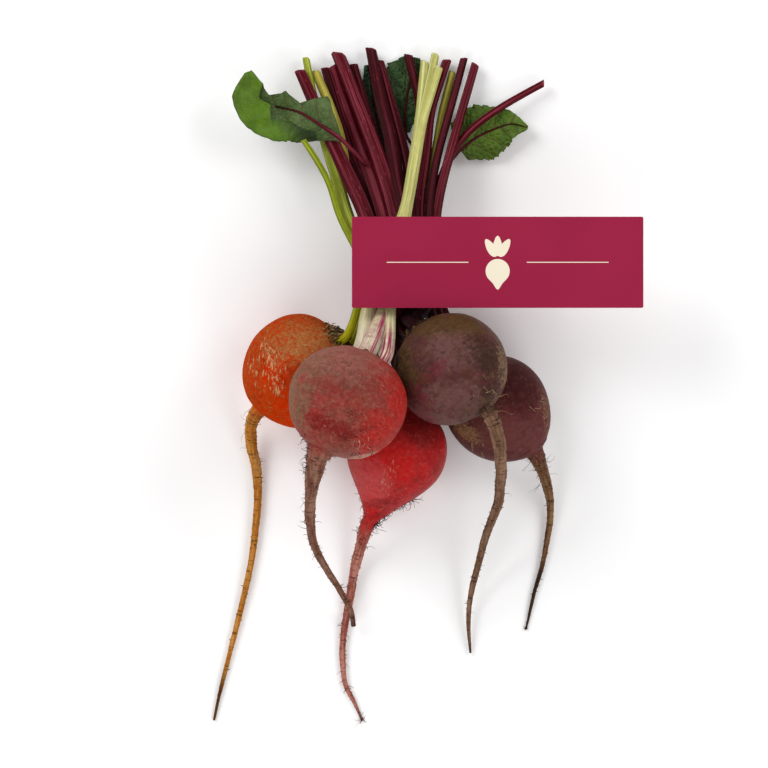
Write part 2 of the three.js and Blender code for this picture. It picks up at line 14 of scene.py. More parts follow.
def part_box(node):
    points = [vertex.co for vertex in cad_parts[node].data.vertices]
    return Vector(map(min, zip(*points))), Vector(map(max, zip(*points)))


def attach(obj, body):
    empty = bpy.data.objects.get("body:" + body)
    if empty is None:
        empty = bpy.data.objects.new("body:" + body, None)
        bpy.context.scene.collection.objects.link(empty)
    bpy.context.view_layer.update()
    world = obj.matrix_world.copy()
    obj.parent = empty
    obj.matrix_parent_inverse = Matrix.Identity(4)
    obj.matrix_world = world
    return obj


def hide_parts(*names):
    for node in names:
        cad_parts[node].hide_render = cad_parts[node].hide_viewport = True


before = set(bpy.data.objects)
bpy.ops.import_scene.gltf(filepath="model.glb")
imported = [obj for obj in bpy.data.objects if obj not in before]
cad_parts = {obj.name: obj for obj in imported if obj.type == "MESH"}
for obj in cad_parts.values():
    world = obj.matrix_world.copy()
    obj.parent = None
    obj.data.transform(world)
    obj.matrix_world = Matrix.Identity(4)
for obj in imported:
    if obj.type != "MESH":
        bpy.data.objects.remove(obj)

LOG = logging.getLogger("beetroot_bunch")
Triple = tuple[float, float, float]
Pair = tuple[float, float]
Colour = tuple[float, float, float, float]
Array = np.ndarray
Known = dict[str, Array]

CARD_CORNER = (-16.5, 39.1)  # low corner of the label in the layout, mm
CROWN_RADIUS = 8.5  # flat top of a beet, where the stalks grow, mm
SQUARENESS = 2.2  # exponent of the round shoulder between the crown and the widest place
CROWN_HEIGHT = 4.0  # height of the disc that the stalk bases grow together in, mm
GAP = 0.3  # clearance between pieces that lie against each other, mm
HAIR_SIDES = 5  # facets round a rootlet
SCAR_SIDES = 7  # facets round a dry fibre of the crown
GRAIN_STEP = 211.0  # each strand's grain starts this much further along, mm, so that no two match
VEIN_SLOPE = 0.75  # how far a side vein runs on, for each mm away from the midrib
VEIN_OFFSET = 0.2  # how far the veins of the two halves stand apart, as a share of their spacing
EASED = {"affect": "EDGES", "profile": 0.5, "material": -1}  # how every bevel is made


# ---- small helpers ----


def layout_shift() -> Array:
    """How far the layout is moved to stand on the part's origin, in mm."""
    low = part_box("label")[0]
    return np.array([low[0] * 1000 - CARD_CORNER[0], low[1] * 1000 - CARD_CORNER[1], 0.0])


SHIFT = layout_shift()


def to_metres(points: Array) -> Array:
    """Layout places in mm as places in the part's frame in metres."""
    return (np.asarray(points, float) + SHIFT) * 0.001


def paint(code: str) -> Colour:
    """A hex colour as the linear RGBA that a shader takes.

    Args:
        code: the colour as "#rrggbb".

    Returns:
        Linear red, green and blue with an alpha of 1.
    """
    parts = [int(code[i : i + 2], 16) / 255 for i in (1, 3, 5)]
    red, green, blue = (p / 12.92 if p <= 0.04045 else ((p + 0.055) / 1.055) ** 2.4 for p in parts)
    return (red, green, blue, 1.0)


def smoothstep(value: Array, low: Union[Array, float], high: Union[Array, float]) -> Array:
    """0 below low, 1 above high and smooth between them, or falling if high is under low."""
    share = np.clip((np.asarray(value, float) - low) / (high - low), 0.0, 1.0)
    return share * share * (3 - 2 * share)


def stations(values: Sequence[float], share: Array) -> Array:
    """Values of evenly spaced stations at shares from 0 to 1, joined by straight lines."""
    return np.interp(share, np.linspace(0, 1, len(values)), values)


def ring_shares(rings: int) -> Array:
    """Shares from 0 to 1 for a strand's rings, with one more at each end to close it."""
    return np.concatenate([[0.0], np.linspace(0, 1, rings), [1.0]])


def grain(points: Array, size: float, seed: float = 0.0) -> Array:
    """Soft random relief from about -1 to 1.

    Args:
        points: places, one row each.
        size: rough distance between bumps, in the points' unit.
        seed: moves the pattern.

    Returns:
        One number per place.
    """
    scaled = np.asarray(points, float) / size + seed
    return np.array([noise.noise(row) for row in scaled.tolist()])


def unit(vectors: Array) -> Array:
    """Vectors made one long, row by row."""
    length = np.linalg.norm(vectors, axis=-1, keepdims=True)
    return vectors / np.maximum(length, 1e-9)


# ---- shader nodes ----

Value = Union["Wire", float, Sequence[float]]


class Wire:
    """An output of a material's node, for use in sums."""

    def __init__(self, net: "Net", socket: bpy.types.NodeSocket) -> None:
        """Keeps the socket and the net that it is in."""
        self.net = net
        self.socket = socket

    def __add__(self, other: Value) -> "Wire":
        """Sum of two values."""
        return self.net.math("ADD", self, other)

    def __radd__(self, other: Value) -> "Wire":
        """Sum with a number on the left."""
        return self.net.math("ADD", other, self)

    def __sub__(self, other: Value) -> "Wire":
        """Difference of two values."""
        return self.net.math("SUBTRACT", self, other)

    def __rsub__(self, other: Value) -> "Wire":
        """A number less this value."""
        return self.net.math("SUBTRACT", other, self)

    def __mul__(self, other: Value) -> "Wire":
        """Product of two values."""
        return self.net.math("MULTIPLY", self, other)

    def __rmul__(self, other: Value) -> "Wire":
        """Product with a number on the left."""
        return self.net.math("MULTIPLY", other, self)

    def __truediv__(self, other: Value) -> "Wire":
        """Quotient of two values."""
        return self.net.math("DIVIDE", self, other)

    def __pow__(self, other: Value) -> "Wire":
        """This value to a power."""
        return self.net.math("POWER", self, other)

    def smooth(self, low: float, high: float) -> "Wire":
        """0 below low, 1 above high and smooth between them."""
        values = {"Value": self, "From Min": low, "From Max": high}
        return self.net.node("ShaderNodeMapRange", {"interpolation_type": "SMOOTHSTEP"}, values)


class Net:
    """The nodes of one material."""

    def __init__(self, name: str) -> None:
        """Starts a material that has no nodes yet.

        Args:
            name: the material's name.
        """
        self.material = bpy.data.materials.new(name)
        self.material.use_nodes = True
        self.tree = self.material.node_tree
        self.tree.nodes.clear()

    def node(self, kind: str, settings: dict, inputs: dict, output: Union[int, str] = 0) -> Optional[Wire]:
        """Makes a node.

        Args:
            kind: Blender's name of the node type.
            settings: its properties, set first.
            inputs: a number, colour or wire for each socket, by name or place.
            output: the output to return.

        Returns:
            That output as a wire, or nothing from a node that has none.
        """
        made = self.tree.nodes.new(kind)
        for name, value in settings.items():
            setattr(made, name, value)
        for key, value in inputs.items():
            if isinstance(value, Wire):
                self.tree.links.new(value.socket, made.inputs[key])
            else:
                made.inputs[key].default_value = value
        return Wire(self, made.outputs[output]) if len(made.outputs) else None

    def math(self, operation: str, *values: Value) -> Wire:
        """A Math node of one or two values."""
        return self.node("ShaderNodeMath", {"operation": operation}, dict(enumerate(values)))

    def mix(self, share: Value, low: Value, high: Value, blend: str = "MIX") -> Wire:
        """low where share is 0 and high where it is 1, both colours."""
        settings = {"data_type": "RGBA", "blend_type": blend, "clamp_factor": True}
        return self.node("ShaderNodeMix", settings, {0: share, 6: low, 7: high}, 2)

    def over(self, colour: Value, code: str, share: Value) -> Wire:
        """A colour with a hex colour laid over it, as strongly as share says."""
        return self.mix(share, colour, paint(code))

    def attribute(self, name: str, output: str = "Fac") -> Wire:
        """A value that the mesh holds for each vertex."""
        return self.node("ShaderNodeAttribute", {"attribute_name": name}, {}, output)

    def stretch(self, vector: Wire, factors: Triple, move: Triple = (0, 0, 0)) -> Wire:
        """A vector times a factor on each axis, then moved."""
        settings = {"operation": "MULTIPLY_ADD"}
        return self.node("ShaderNodeVectorMath", settings, {0: vector, 1: factors, 2: move})

    def noise(self, vector: Wire, scale: float, detail: float, rough: float, warp: float = 0.0) -> Wire:
        """Soft noise around 0.5."""
        values = {"Vector": vector, "Scale": scale, "Detail": detail, "Roughness": rough, "Distortion": warp}
        return self.node("ShaderNodeTexNoise", {}, values)

    def drawn_noise(self, vector: Wire, factors: Triple, detail: float, rough: float) -> Wire:
        """Noise drawn out along some axes, with its bumps per unit on each axis."""
        return self.noise(self.stretch(vector, factors), 1.0, detail, rough)

    def cells(self, vector: Wire, scale: float, chance: float, size: float, soft: float) -> Wire:
        """Separate spots, one in some of the cells of a scattered net.

        Args:
            vector: the coordinates.
            scale: cells per unit.
            chance: share of the cells that hold a spot.
            size: a spot's radius, in cells.
            soft: width of its edge, in cells.

        Returns:
            1 inside the spots and 0 outside.
        """
        values = {"Vector": vector, "Scale": scale}
        settings = {"feature": "F1"}
        near = self.node("ShaderNodeTexVoronoi", settings, values, "Distance")
        tint = self.node("ShaderNodeTexVoronoi", settings, values, "Color")
        chosen = self.node("ShaderNodeSeparateColor", {}, {0: tint}, 0)
        return near.smooth(size, size - soft) * chosen.smooth(1 - chance, 1 - chance + 0.02)

    def finish(self, colour: Value, rough: Value, height: Wire, **constants: Value) -> bpy.types.Material:
        """Joins everything in the surface shader.

        Args:
            colour: the base colour.
            rough: the roughness.
            height: relief in mm.
            constants: other sockets of the shader, with underscores for spaces.

        Returns:
            The finished material.
        """
        bump = self.node("ShaderNodeBump", {}, {"Strength": 1.0, "Distance": 0.001, "Height": height})
        inputs = {"Base Color": colour, "Roughness": rough, "Normal": bump}
        inputs.update({key.replace("_", " "): value for key, value in constants.items()})
        shader = self.node("ShaderNodeBsdfPrincipled", {}, inputs)
        self.node("ShaderNodeOutputMaterial", {}, {"Surface": shader})
        return self.material


# ---- routes and swept strands ----


class Route:
    """A smooth line through points, walked by its own length."""

    def __init__(self, points: Sequence[Sequence[float]], steps: int = 48) -> None:
        """Samples a centripetal Catmull-Rom curve.

        Args:
            points: places that the line goes through, mm.
            steps: samples between two of them.
        """
        p = np.asarray(points, float)
        ends = np.vstack([2 * p[0] - p[1], p, 2 * p[-1] - p[-2]])
        t = np.linspace(0, 1, steps, endpoint=False)[:, None]
        spans = []
        for a, b, c, d in zip(ends, ends[1:], ends[2:], ends[3:]):
            u, v, w = (max(np.linalg.norm(q - r) ** 0.5, 1e-4) for q, r in ((b, a), (c, b), (d, c)))
            leave = ((b - a) / u - (c - a) / (u + v) + (c - b) / v) * v
            arrive = ((c - b) / v - (d - b) / (v + w) + (d - c) / w) * v
            cubic = 2 * b - 2 * c + leave + arrive
            square = 3 * c - 3 * b - 2 * leave - arrive
            spans.append(b + t * (leave + t * (square + t * cubic)))
        self.points = np.vstack([*spans, p[-1:]])
        walked = np.cumsum(np.linalg.norm(np.diff(self.points, axis=0), axis=1))
        self.walked = np.concatenate([[0.0], walked])
        self.length = float(self.walked[-1])
        self.reach = 2.5 * self.length / len(self.points)  # how far to each side a heading looks

    def place(self, at: Array) -> Array:
        """Places at distances along the line."""
        columns = [np.interp(at, self.walked, self.points[:, axis]) for axis in range(3)]
        return np.stack(columns, axis=-1)

    def heading(self, at: Array) -> Array:
        """Unit directions at distances along the line."""
        ahead = self.place(np.clip(at + self.reach, 0, self.length))
        return unit(ahead - self.place(np.clip(at - self.reach, 0, self.length)))


@dataclass
class Strand:
    """One round strand swept along a route, closed where its radius is 0."""

    route: Route
    at: Array  # each ring's place along the route, mm
    radius: Array
    press: Union[Array, float] = 1.0  # height of a ring as a share of its width
    lean: Union[Array, float] = 0.0  # slant of a ring
    upright: Triple = (0.0, 0.0, 1.0)
    untwisted: bool = False  # each ring's axes follow the last ring's

    def rings(self) -> Known:
        """What each ring of the strand holds.

        Returns:
            Its middle, axes and sizes by name, each with a row for each ring.
        """
        heading = self.route.heading(self.at)
        side = unit(np.cross(heading, np.asarray(self.upright, float)))
        if self.untwisted:
            for i in range(1, len(side)):
                side[i] = unit(side[i - 1] - heading[i] * np.dot(side[i - 1], heading[i]))
        ones = np.ones(len(self.at))
        return {
            "middle": self.route.place(self.at),
            "heading": heading,
            "side": side,
            "up": np.cross(side, heading),
            "radius": self.radius * ones,
            "press": self.press * ones,
            "lean": self.lean * ones,
            "at": self.at * ones,
        }


@dataclass
class Piece:
    """A mesh in the making: its object and what is known of each vertex."""

    obj: bpy.types.Object
    point: Array
    known: Known = field(default_factory=dict)

    def set_points(self, point: Array) -> None:
        """Moves every vertex.

        Args:
            point: their places in the layout, which are kept from going under the floor.
        """
        point[:, 2] = np.maximum(point[:, 2], 0.0)
        self.point = point
        self.obj.data.vertices.foreach_set("co", to_metres(point).ravel())

    def note(self, name: str, values: Array) -> None:
        """Stores something for each vertex, for the materials.

        Args:
            name: the attribute's name.
            values: a number, a vector or a colour for each vertex.
        """
        values = np.asarray(values, np.float32)
        kind, slot = ("FLOAT", "value") if values.ndim == 1 else ("FLOAT_VECTOR", "vector")
        if values.ndim == 2 and values.shape[1] == 4:
            kind, slot = "FLOAT_COLOR", "color"
        layer = self.obj.data.attributes.new(name, kind, "POINT")
        layer.data.foreach_set(slot, values.ravel())

    def close(
        self, materials: Sequence[bpy.types.Material], slot: str, *nodes: str, smooth: bool = True
    ) -> None:
        """Puts the piece in the scene and on its body.

        Args:
            materials: its finishes, in the order of its faces' numbers.
            slot: the slot that it belongs to, which only goes into the log message.
            nodes: the nodes that it stands for.
            smooth: whether its faces are shaded as one round surface.
        """
        data = self.obj.data
        self.note("place", self.point)
        data.polygons.foreach_set("use_smooth", np.full(len(data.polygons), smooth))
        for material in materials:
            data.materials.append(material)
        data.update()
        bpy.context.scene.collection.objects.link(self.obj)
        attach(self.obj, "root")
        if nodes:
            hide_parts(*nodes)
        LOG.info("%s: %d faces, slot %s", self.obj.name, len(data.polygons), slot)


def new_piece(name: str, shape: bmesh.types.BMesh) -> Piece:
    """Turns a bmesh into a piece.

    Args:
        name: the piece's name.
        shape: the bmesh, which is freed.

    Returns:
        The piece, not yet in the scene.
    """
    data = bpy.data.meshes.new(name)
    shape.to_mesh(data)
    shape.free()
    point = np.empty(len(data.vertices) * 3, np.float32)
    data.vertices.foreach_get("co", point)
    return Piece(bpy.data.objects.new(name, data), point.reshape(-1, 3).astype(float))


def sweep(
    name: str, strands: Sequence[Strand], sides: int, relief: Optional[Callable[[Known], Array]] = None
) -> Piece:
    """Spins all strands at once round one axis and bends each along its route.

    Args:
        name: the piece's name.
        strands: what to sweep.
        sides: facets round each strand.
        relief: gives the share by which each vertex stands out, from what is known of it.

    Returns:
        The piece, with what is known of each vertex kept for painting.
    """
    shape = bmesh.new()
    station = 0
    for strand in strands:
        last = None
        for radius in strand.radius:
            vert = shape.verts.new((1.0 if radius > 0 else 0.0, 0.0, float(station)))
            if last is not None:
                shape.edges.new((last, vert))
            last, station = vert, station + 1
    geometry = shape.verts[:] + shape.edges[:]
    turn = {"cent": (0, 0, 0), "axis": (0, 0, 1), "angle": 2 * math.pi, "use_merge": True}
    bmesh.ops.spin(shape, geom=geometry, steps=sides, **turn)
    bmesh.ops.remove_doubles(shape, verts=shape.verts[:], dist=1e-4)
    bmesh.ops.recalc_face_normals(shape, faces=shape.faces[:])
    piece = new_piece(name, shape)
    rings = [strand.rings() for strand in strands]
    joined = {key: np.concatenate([ring[key] for ring in rings]) for key in rings[0]}
    owner = np.concatenate([np.full(len(strand.at), i) for i, strand in enumerate(strands)])
    length = np.array([strand.route.length for strand in strands])
    ring = np.rint(piece.point[:, 2]).astype(int)
    known = {key: values[ring] for key, values in joined.items()}
    known["owner"] = owner[ring]
    known["share"] = known["at"] / length[known["owner"]]
    known["angle"] = np.arctan2(piece.point[:, 1], piece.point[:, 0])
    round_place = np.stack([np.cos(known["angle"]), np.sin(known["angle"])], axis=-1)
    known["grown"] = np.column_stack([round_place * known["radius"][:, None], known["at"]])
    out = known["radius"] * (1 + (relief(known) if relief else 0.0))
    across = out * round_place[:, 1]
    high = out * round_place[:, 0] * known["press"]
    point = known["middle"] + known["side"] * across[:, None] + known["up"] * high[:, None]
    point -= known["heading"] * (known["lean"] * across)[:, None]
    piece.known = known
    piece.set_points(point)
    piece.note("grown", known["grown"] + np.outer(known["owner"], [0, 0, GRAIN_STEP]))
    return piece


# ---- beets ----


@dataclass(frozen=True)
class Layer:
    """A colour that lies over a skin in ragged patches."""

    name: str
    colour: str
    grain: float = 0.5  # bumps of its edge, per mm
    ragged: float = 0.8  # how far they eat into it
    cover: float = 0.0  # how much of it lies everywhere
    strength: float = 0.85
    along: float = 1.0  # less than 1 draws its edge out along Y and Z
    soft: float = 0.3  # half the width of its edge, as a share of the mask


@dataclass(frozen=True)
class Patch:
    """A soft oval where one layer of a skin lies, seen from above."""

    layer: str
    x: float
    y: float
    wide: float
    high: float
    turn: float = 0.0  # degrees
    strength: float = 1.0

    def mask(self, point: Array) -> Array:
        """How strongly the layer lies on each place.

        Args:
            point: places in the layout, one row each.

        Returns:
            The patch's strength in its middle, falling to 0 some way outside its oval.
        """
        turn = math.radians(self.turn)
        dx, dy = point[:, 0] - self.x, point[:, 1] - self.y
        along = (dx * math.cos(turn) + dy * math.sin(turn)) / self.wide
        across = (dy * math.cos(turn) - dx * math.sin(turn)) / self.high
        return self.strength * np.clip(1 - (along**2 + across**2) / 2.2, 0, 1)


@dataclass(frozen=True)
class SkinFinish:
    """Skin of one beet and the bark of its taproot."""

    name: str
    flesh: str  # clear skin
    dull: str  # skin that has browned
    deep: str  # creases and rings
    root: str  # bark
    root_dark: str  # its rings, its dashes and the root's tip
    root_pale: str
    speck: str  # dashes and dust on the skin
    layers: tuple[Layer, ...]
    dashes: float = 0.3  # share of the skin's cells that hold a short dash
    dust: float = 0.16  # strength of the pale and dark clouds
    gloss: float = 0.46  # roughness of clear skin
    shine: float = 0.1  # strength of its reflections
    bark_rough: float = 0.72

    def dress(self) -> bpy.types.Material:
        """Makes the material: skin on the body, bark on the taproot.

        Returns:
            The material.
        """
        net = Net(self.name)
        place = net.attribute("place", "Vector")
        grown = net.attribute("grown", "Vector")
        fine = net.noise(place, 1.3, 5, 0.65)
        grit = net.noise(place, 4.0, 3, 0.6)
        skin = self._skin(net, place, grown, fine, grit)
        marked, marks = self._marks(net, skin[0], place, grown)
        bark, bark_relief = self._bark(net, grown, fine, grit)
        tail = net.attribute("tail")
        rough = skin[1] * (1 - tail) + tail * self.bark_rough
        height = (skin[2] + marks) * (1 - tail) + tail * bark_relief
        return net.finish(net.mix(tail, marked, bark), rough, height, Specular_IOR_Level=self.shine)

    def _skin(self, net: Net, place: Wire, grown: Wire, fine: Wire, grit: Wire) -> tuple[Wire, Wire, Wire]:
        """The clear skin and the layers that lie over it in patches.

        Args:
            net: the material.
            place: coordinates on the part.
            grown: coordinates round and along the beet.
            fine: 1 mm noise.
            grit: finer noise.

        Returns:
            Its colour, its roughness and its relief in mm.
        """
        broad = net.noise(place, 0.07, 4, 0.6, 0.4)
        mottle = net.noise(place, 0.32, 6, 0.65, 0.3)
        browned = (broad * 0.5 + mottle * 0.5).smooth(0.4, 0.62)
        colour = net.mix(browned, paint(self.flesh), paint(self.dull))
        rough = 0.1 * fine + (self.gloss - 0.05)
        wrinkle = net.drawn_noise(grown, (0.12, 0.12, 0.9), 5, 0.65)
        height = mottle * 0.5 + fine * 0.16 + grit * 0.04 + wrinkle * 0.25
        for number, layer in enumerate(self.layers):
            spread = net.stretch(place, (1, layer.along, layer.along), (17.0 * number, 5.0, 3.0))
            edge = net.noise(spread, layer.grain, 6, 0.68, 0.5)
            mask = net.attribute(layer.name) + layer.cover + (edge - 0.5) * (4 * layer.ragged)
            mask = mask.smooth(0.5 - layer.soft, 0.5 + layer.soft) * layer.strength
            colour = net.over(colour, layer.colour, mask)
            rough = rough + mask * 0.14
            height = height + mask * edge * 0.3
        return colour, rough, height

    def _marks(self, net: Net, colour: Wire, place: Wire, grown: Wire) -> tuple[Wire, Wire]:
        """Growth rings, dashes, pits and dust on the skin.

        Args:
            net: the material.
            colour: the skin's colour without them.
            place: coordinates on the part.
            grown: coordinates round and along the beet.

        Returns:
            The colour with them, and their relief in mm.
        """
        rings = net.drawn_noise(grown, (0.05, 0.05, 1.1), 4, 0.6)
        colour = net.over(colour, self.deep, rings.smooth(0.52, 0.7) * 0.3)
        dash = net.cells(net.stretch(grown, (0.22, 0.22, 0.85)), 1.0, self.dashes, 0.3, 0.16)
        colour = net.over(colour, self.speck, dash * 0.3)
        pit = net.cells(place, 0.55, 0.3, 0.2, 0.12)
        colour = net.over(colour, self.deep, pit * 0.5)
        dust = net.noise(net.stretch(place, (1, 1, 1), (40.0, 0.0, 9.0)), 0.42, 6, 0.68)
        colour = net.over(colour, self.speck, dust.smooth(0.48, 0.72) * self.dust)
        colour = net.over(colour, self.deep, dust.smooth(0.5, 0.3) * (self.dust * 1.6))
        return colour, dash * 0.12 - pit * 0.12 - rings * 0.15

    def _bark(self, net: Net, grown: Wire, fine: Wire, grit: Wire) -> tuple[Wire, Wire]:
        """The taproot's bark.

        Args:
            net: the material.
            grown: coordinates round and along the root.
            fine: 1 mm noise.
            grit: finer noise.

        Returns:
            Its colour and its relief in mm.
        """
        long_grain = net.drawn_noise(grown, (0.5, 0.5, 0.06), 5, 0.6)
        colour = net.mix(long_grain.smooth(0.4, 0.62), paint(self.root), paint(self.root_pale))
        rings = net.drawn_noise(grown, (0.16, 0.16, 0.9), 5, 0.75)
        patchy = net.drawn_noise(grown, (0.3, 0.3, 0.14), 3, 0.5).smooth(0.36, 0.54)
        dash = net.cells(net.stretch(grown, (0.16, 0.16, 0.8)), 1.0, 0.5, 0.36, 0.2) * patchy
        darks = (rings.smooth(0.52, 0.62) * 0.8, dash * 0.85, grit.smooth(0.5, 0.75) * 0.4)
        for dark in (*darks, net.attribute("tip") * 0.85):
            colour = net.over(colour, self.root_dark, dark)
        return colour, rings * -0.5 + dash * -0.2 + fine * 0.25 + grit * 0.06


@dataclass(frozen=True)
class Hairs:
    """A growth of rootlets or hairs on part of a beet."""

    count: int
    start: float  # on the line from the crown to the tip, mm past the centre
    end: float
    length: Pair
    radius: Pair  # at the foot and at the tip, mm
    curl: float = 0.35
    colour: str = "#5a3a2c"
    around: Pair = (0.0, 360.0)  # degrees from the top, clockwise seen from the crown
    hug: float = 0.0  # 1 lies along the skin


@dataclass
class Beet:
    """One beet with its taproot, its hairs and the scars of old stalks at its crown."""

    name: str
    centre: Triple
    radius: float
    depth: float  # thickness from above, as a share of the width
    crown_reach: float  # from the centre to the crown
    root_reach: float  # from the centre to the end of the round body
    taper: float  # exponent of the lower half, from blunt at 0.5 to slender at 2
    crownwards: Triple  # the way from the centre to the crown
    tail: list[Triple]  # places that the taproot goes through
    radii: list[float]  # of the taproot, evenly spaced
    finish: SkinFinish
    patches: list[Patch]
    hairs: list[Hairs]
    seed: int
    scars: int = 110  # fibres left round the crown
    scar_reach: float = 0.12  # how far down the shoulder they grow, as a share of its height
    scar_tints: tuple[str, str, str] = ("#2c1a12", "#5a4028", "#40281a")
    fillet: float = 1.9  # the lower, the wider the corner between body and taproot
    flare: Pair = (0.0, 8.0)  # how much wider the root starts, and over what length, mm
    tip: float = 0.9  # where along the taproot its dark tip starts, as a share
    lumps: Pair = (0.014, 0.004)  # broad and small ones, as shares of the radius like the next four
    crown_ribs: float = 0.03
    furrow: float = 0.012
    root_rings: Pair = (0.13, 0.07)  # broad and small ones
    root_bends: float = 0.16
    body_rings: int = 150
    tail_rings: int = 210
    sides: int = 112

    def __post_init__(self) -> None:
        """Works out the axis and the route."""
        self.axis = unit(np.asarray(self.crownwards, float))
        self.middle = np.asarray(self.centre, float)
        self.route = Route([self.on_axis(self.crown_reach), self.middle, *self.tail])
        self.tail_length = self.route.length - self.crown_reach - self.root_reach

    def on_axis(self, distance: float) -> Array:
        """Place on the axis, a distance from the centre towards the crown."""
        return self.middle + self.axis * distance

    def body_radius(self, d: Array) -> Array:
        """Radius of the round body alone.

        Args:
            d: distances from its centre, negative towards the crown.

        Returns:
            A radius for each.
        """
        edge = (CROWN_RADIUS / self.radius) ** SQUARENESS
        share = np.clip(-d / self.crown_reach, 0, 1) * (1 - edge) ** (1 / SQUARENESS)
        top = (1 - share**SQUARENESS) ** (1 / SQUARENESS)
        low = np.clip(1 - (np.clip(d, 0, None) / self.root_reach) ** 2, 0, 1) ** self.taper
        return self.radius * np.where(d < 0, top, low)

    def ring_radius(self, d: Array) -> Array:
        """Radius of body and taproot together.

        Args:
            d: distances from the centre, negative towards the crown.

        Returns:
            A radius for each.
        """
        along = np.clip((d - self.root_reach) / self.tail_length, 0, 1)
        wider = self.flare[0] * np.exp(-np.clip(d - self.root_reach, 0, None) / self.flare[1])
        tail = (stations(self.radii, along) + wider) * smoothstep(d / self.root_reach, 0.25, 0.85)
        return (self.body_radius(d) ** self.fillet + tail**self.fillet) ** (1 / self.fillet)

    def strand(self) -> Strand:
        """The whole beet as one strand, closed at the crown and at the tip.

        Returns:
            The strand, with its flat crown made of a few close rings.
        """
        turn = np.linspace(0, math.pi, self.body_rings)
        reach = np.where(turn < math.pi / 2, self.crown_reach, self.root_reach)
        grow = np.linspace(0, 1, self.tail_rings + 1)[1:] ** 1.25
        d = np.concatenate([-np.cos(turn) * reach, self.root_reach + self.tail_length * grow])
        radius = self.ring_radius(d)
        press = 1 + (self.depth - 1) * np.clip(self.body_radius(d) / (0.5 * self.radius), 0, 1)
        crown = radius[0] * np.concatenate([[0.0], np.linspace(0.15, 0.9, 5)])
        at = np.concatenate([np.zeros(len(crown)), d + self.crown_reach, [self.route.length]])
        radius = np.concatenate([crown, radius, [0.0]])
        press = np.concatenate([np.full(len(crown), press[0]), press, [press[-1]]])
        return Strand(self.route, at, radius, press)

    def relief(self, known: Known) -> Array:
        """Lumps, crown ribs and furrows of the body, and rings and bends of the root.

        Args:
            known: what is known of each vertex.

        Returns:
            The share of the radius by which each stands out.
        """
        angle, d = known["angle"], known["at"] - self.crown_reach
        body = np.clip(self.body_radius(d) / (0.5 * self.radius), 0, 1)
        along = np.clip((d - self.root_reach) / self.tail_length, 0, 1)
        tail = 1 - body
        turned = np.column_stack([np.cos(angle), np.sin(angle), d / self.radius])
        lumps = self.lumps[0] * grain(turned, 0.8, self.seed)
        lumps += self.lumps[1] * grain(turned, 0.22, self.seed + 9.0)
        shoulder = smoothstep(-d / self.crown_reach, 0.55, 0.98)
        ribs = self.crown_ribs * np.cos(9 * angle + self.seed) * shoulder
        furrow = -self.furrow * np.exp(-((np.mod(angle + self.seed, math.pi) - 1.5) / 0.16) ** 2)
        furrow *= smoothstep(d / self.root_reach, 0.1, 0.7)
        ring_place = np.column_stack([np.cos(angle) * 0.8, np.sin(angle) * 0.8, d * 0.75])
        rings = self.root_rings[0] * grain(ring_place, 1.0, self.seed)
        rings += self.root_rings[1] * grain(ring_place, 0.4, self.seed)
        bend_place = np.column_stack([turned[:, :2] * 0.6, d * 0.1])
        bends = self.root_bends * grain(bend_place, 1.0, self.seed + 5.0)
        tail *= np.clip(1.1 - along * 0.3, 0, 1)
        return body * (lumps + ribs + furrow) + tail * (rings + bends)

    def build(self) -> None:
        """Builds the body and taproot, then the hairs and the crown's scars."""
        piece = sweep(f"beet_{self.name}", [self.strand()], self.sides, self.relief)
        d = piece.known["at"] - self.crown_reach
        edge = grain(piece.point, 5.0, self.seed) * 3.0
        tail = smoothstep(d + edge, self.root_reach * 0.84, self.root_reach * 1.34)
        piece.note("tail", tail)
        piece.note("tip", smoothstep((d - self.root_reach) / self.tail_length, self.tip, self.tip + 0.12))
        facing = smoothstep((piece.point[:, 2] - self.middle[2]) / self.radius, -0.2, 0.1)
        for layer in self.finish.layers:
            masks = [patch.mask(piece.point) for patch in self.patches if patch.layer == layer.name]
            piece.note(layer.name, np.max([np.zeros(len(facing)), *masks], axis=0) * facing)
        piece.close([self.finish.dress()], f"{self.name}_skin", f"root_{self.name}")
        self.grow_hairs()
        self.grow_scars()

    def surface(self, d: float, angle: float) -> tuple[Array, Array, Array]:
        """A place on the skin.

        Args:
            d: distance from the centre, towards the taproot.
            angle: turn round the axis from the top, in radians.

        Returns:
            The place, the way out of the skin and the way towards the tip.
        """
        at = np.array([d + self.crown_reach])
        heading = self.route.heading(at)[0]
        side = unit(np.cross(heading, (0.0, 0.0, 1.0)))
        up = np.cross(side, heading)
        radius = float(self.ring_radius(np.array([d]))[0])
        body = min(1.0, float(self.body_radius(np.array([d]))[0]) / (0.5 * self.radius))
        press = 1 + (self.depth - 1) * body
        out = up * math.cos(angle) * press + side * math.sin(angle)
        return self.route.place(at)[0] + out * radius, unit(out), heading

    def grow_hairs(self) -> None:
        """Rootlets and hairs, one piece for all of them."""
        rng = np.random.default_rng(self.seed)
        strands, tints = [], []
        for growth in self.hairs:
            for _ in range(growth.count):
                strands.append(self.hair(growth, rng))
                tints.append(np.array(paint(growth.colour)) * rng.uniform(0.6, 1.35))
        piece = sweep(f"rootlets_{self.name}", strands, HAIR_SIDES)
        tint = np.array(tints)[piece.known["owner"]]
        tint[:, :3] *= (1.15 - 0.4 * piece.known["share"])[:, None]
        piece.note("tint", np.clip(tint, 0, 1))
        piece.close([HAIR_FINISH.dress()], f"{self.name}_skin")

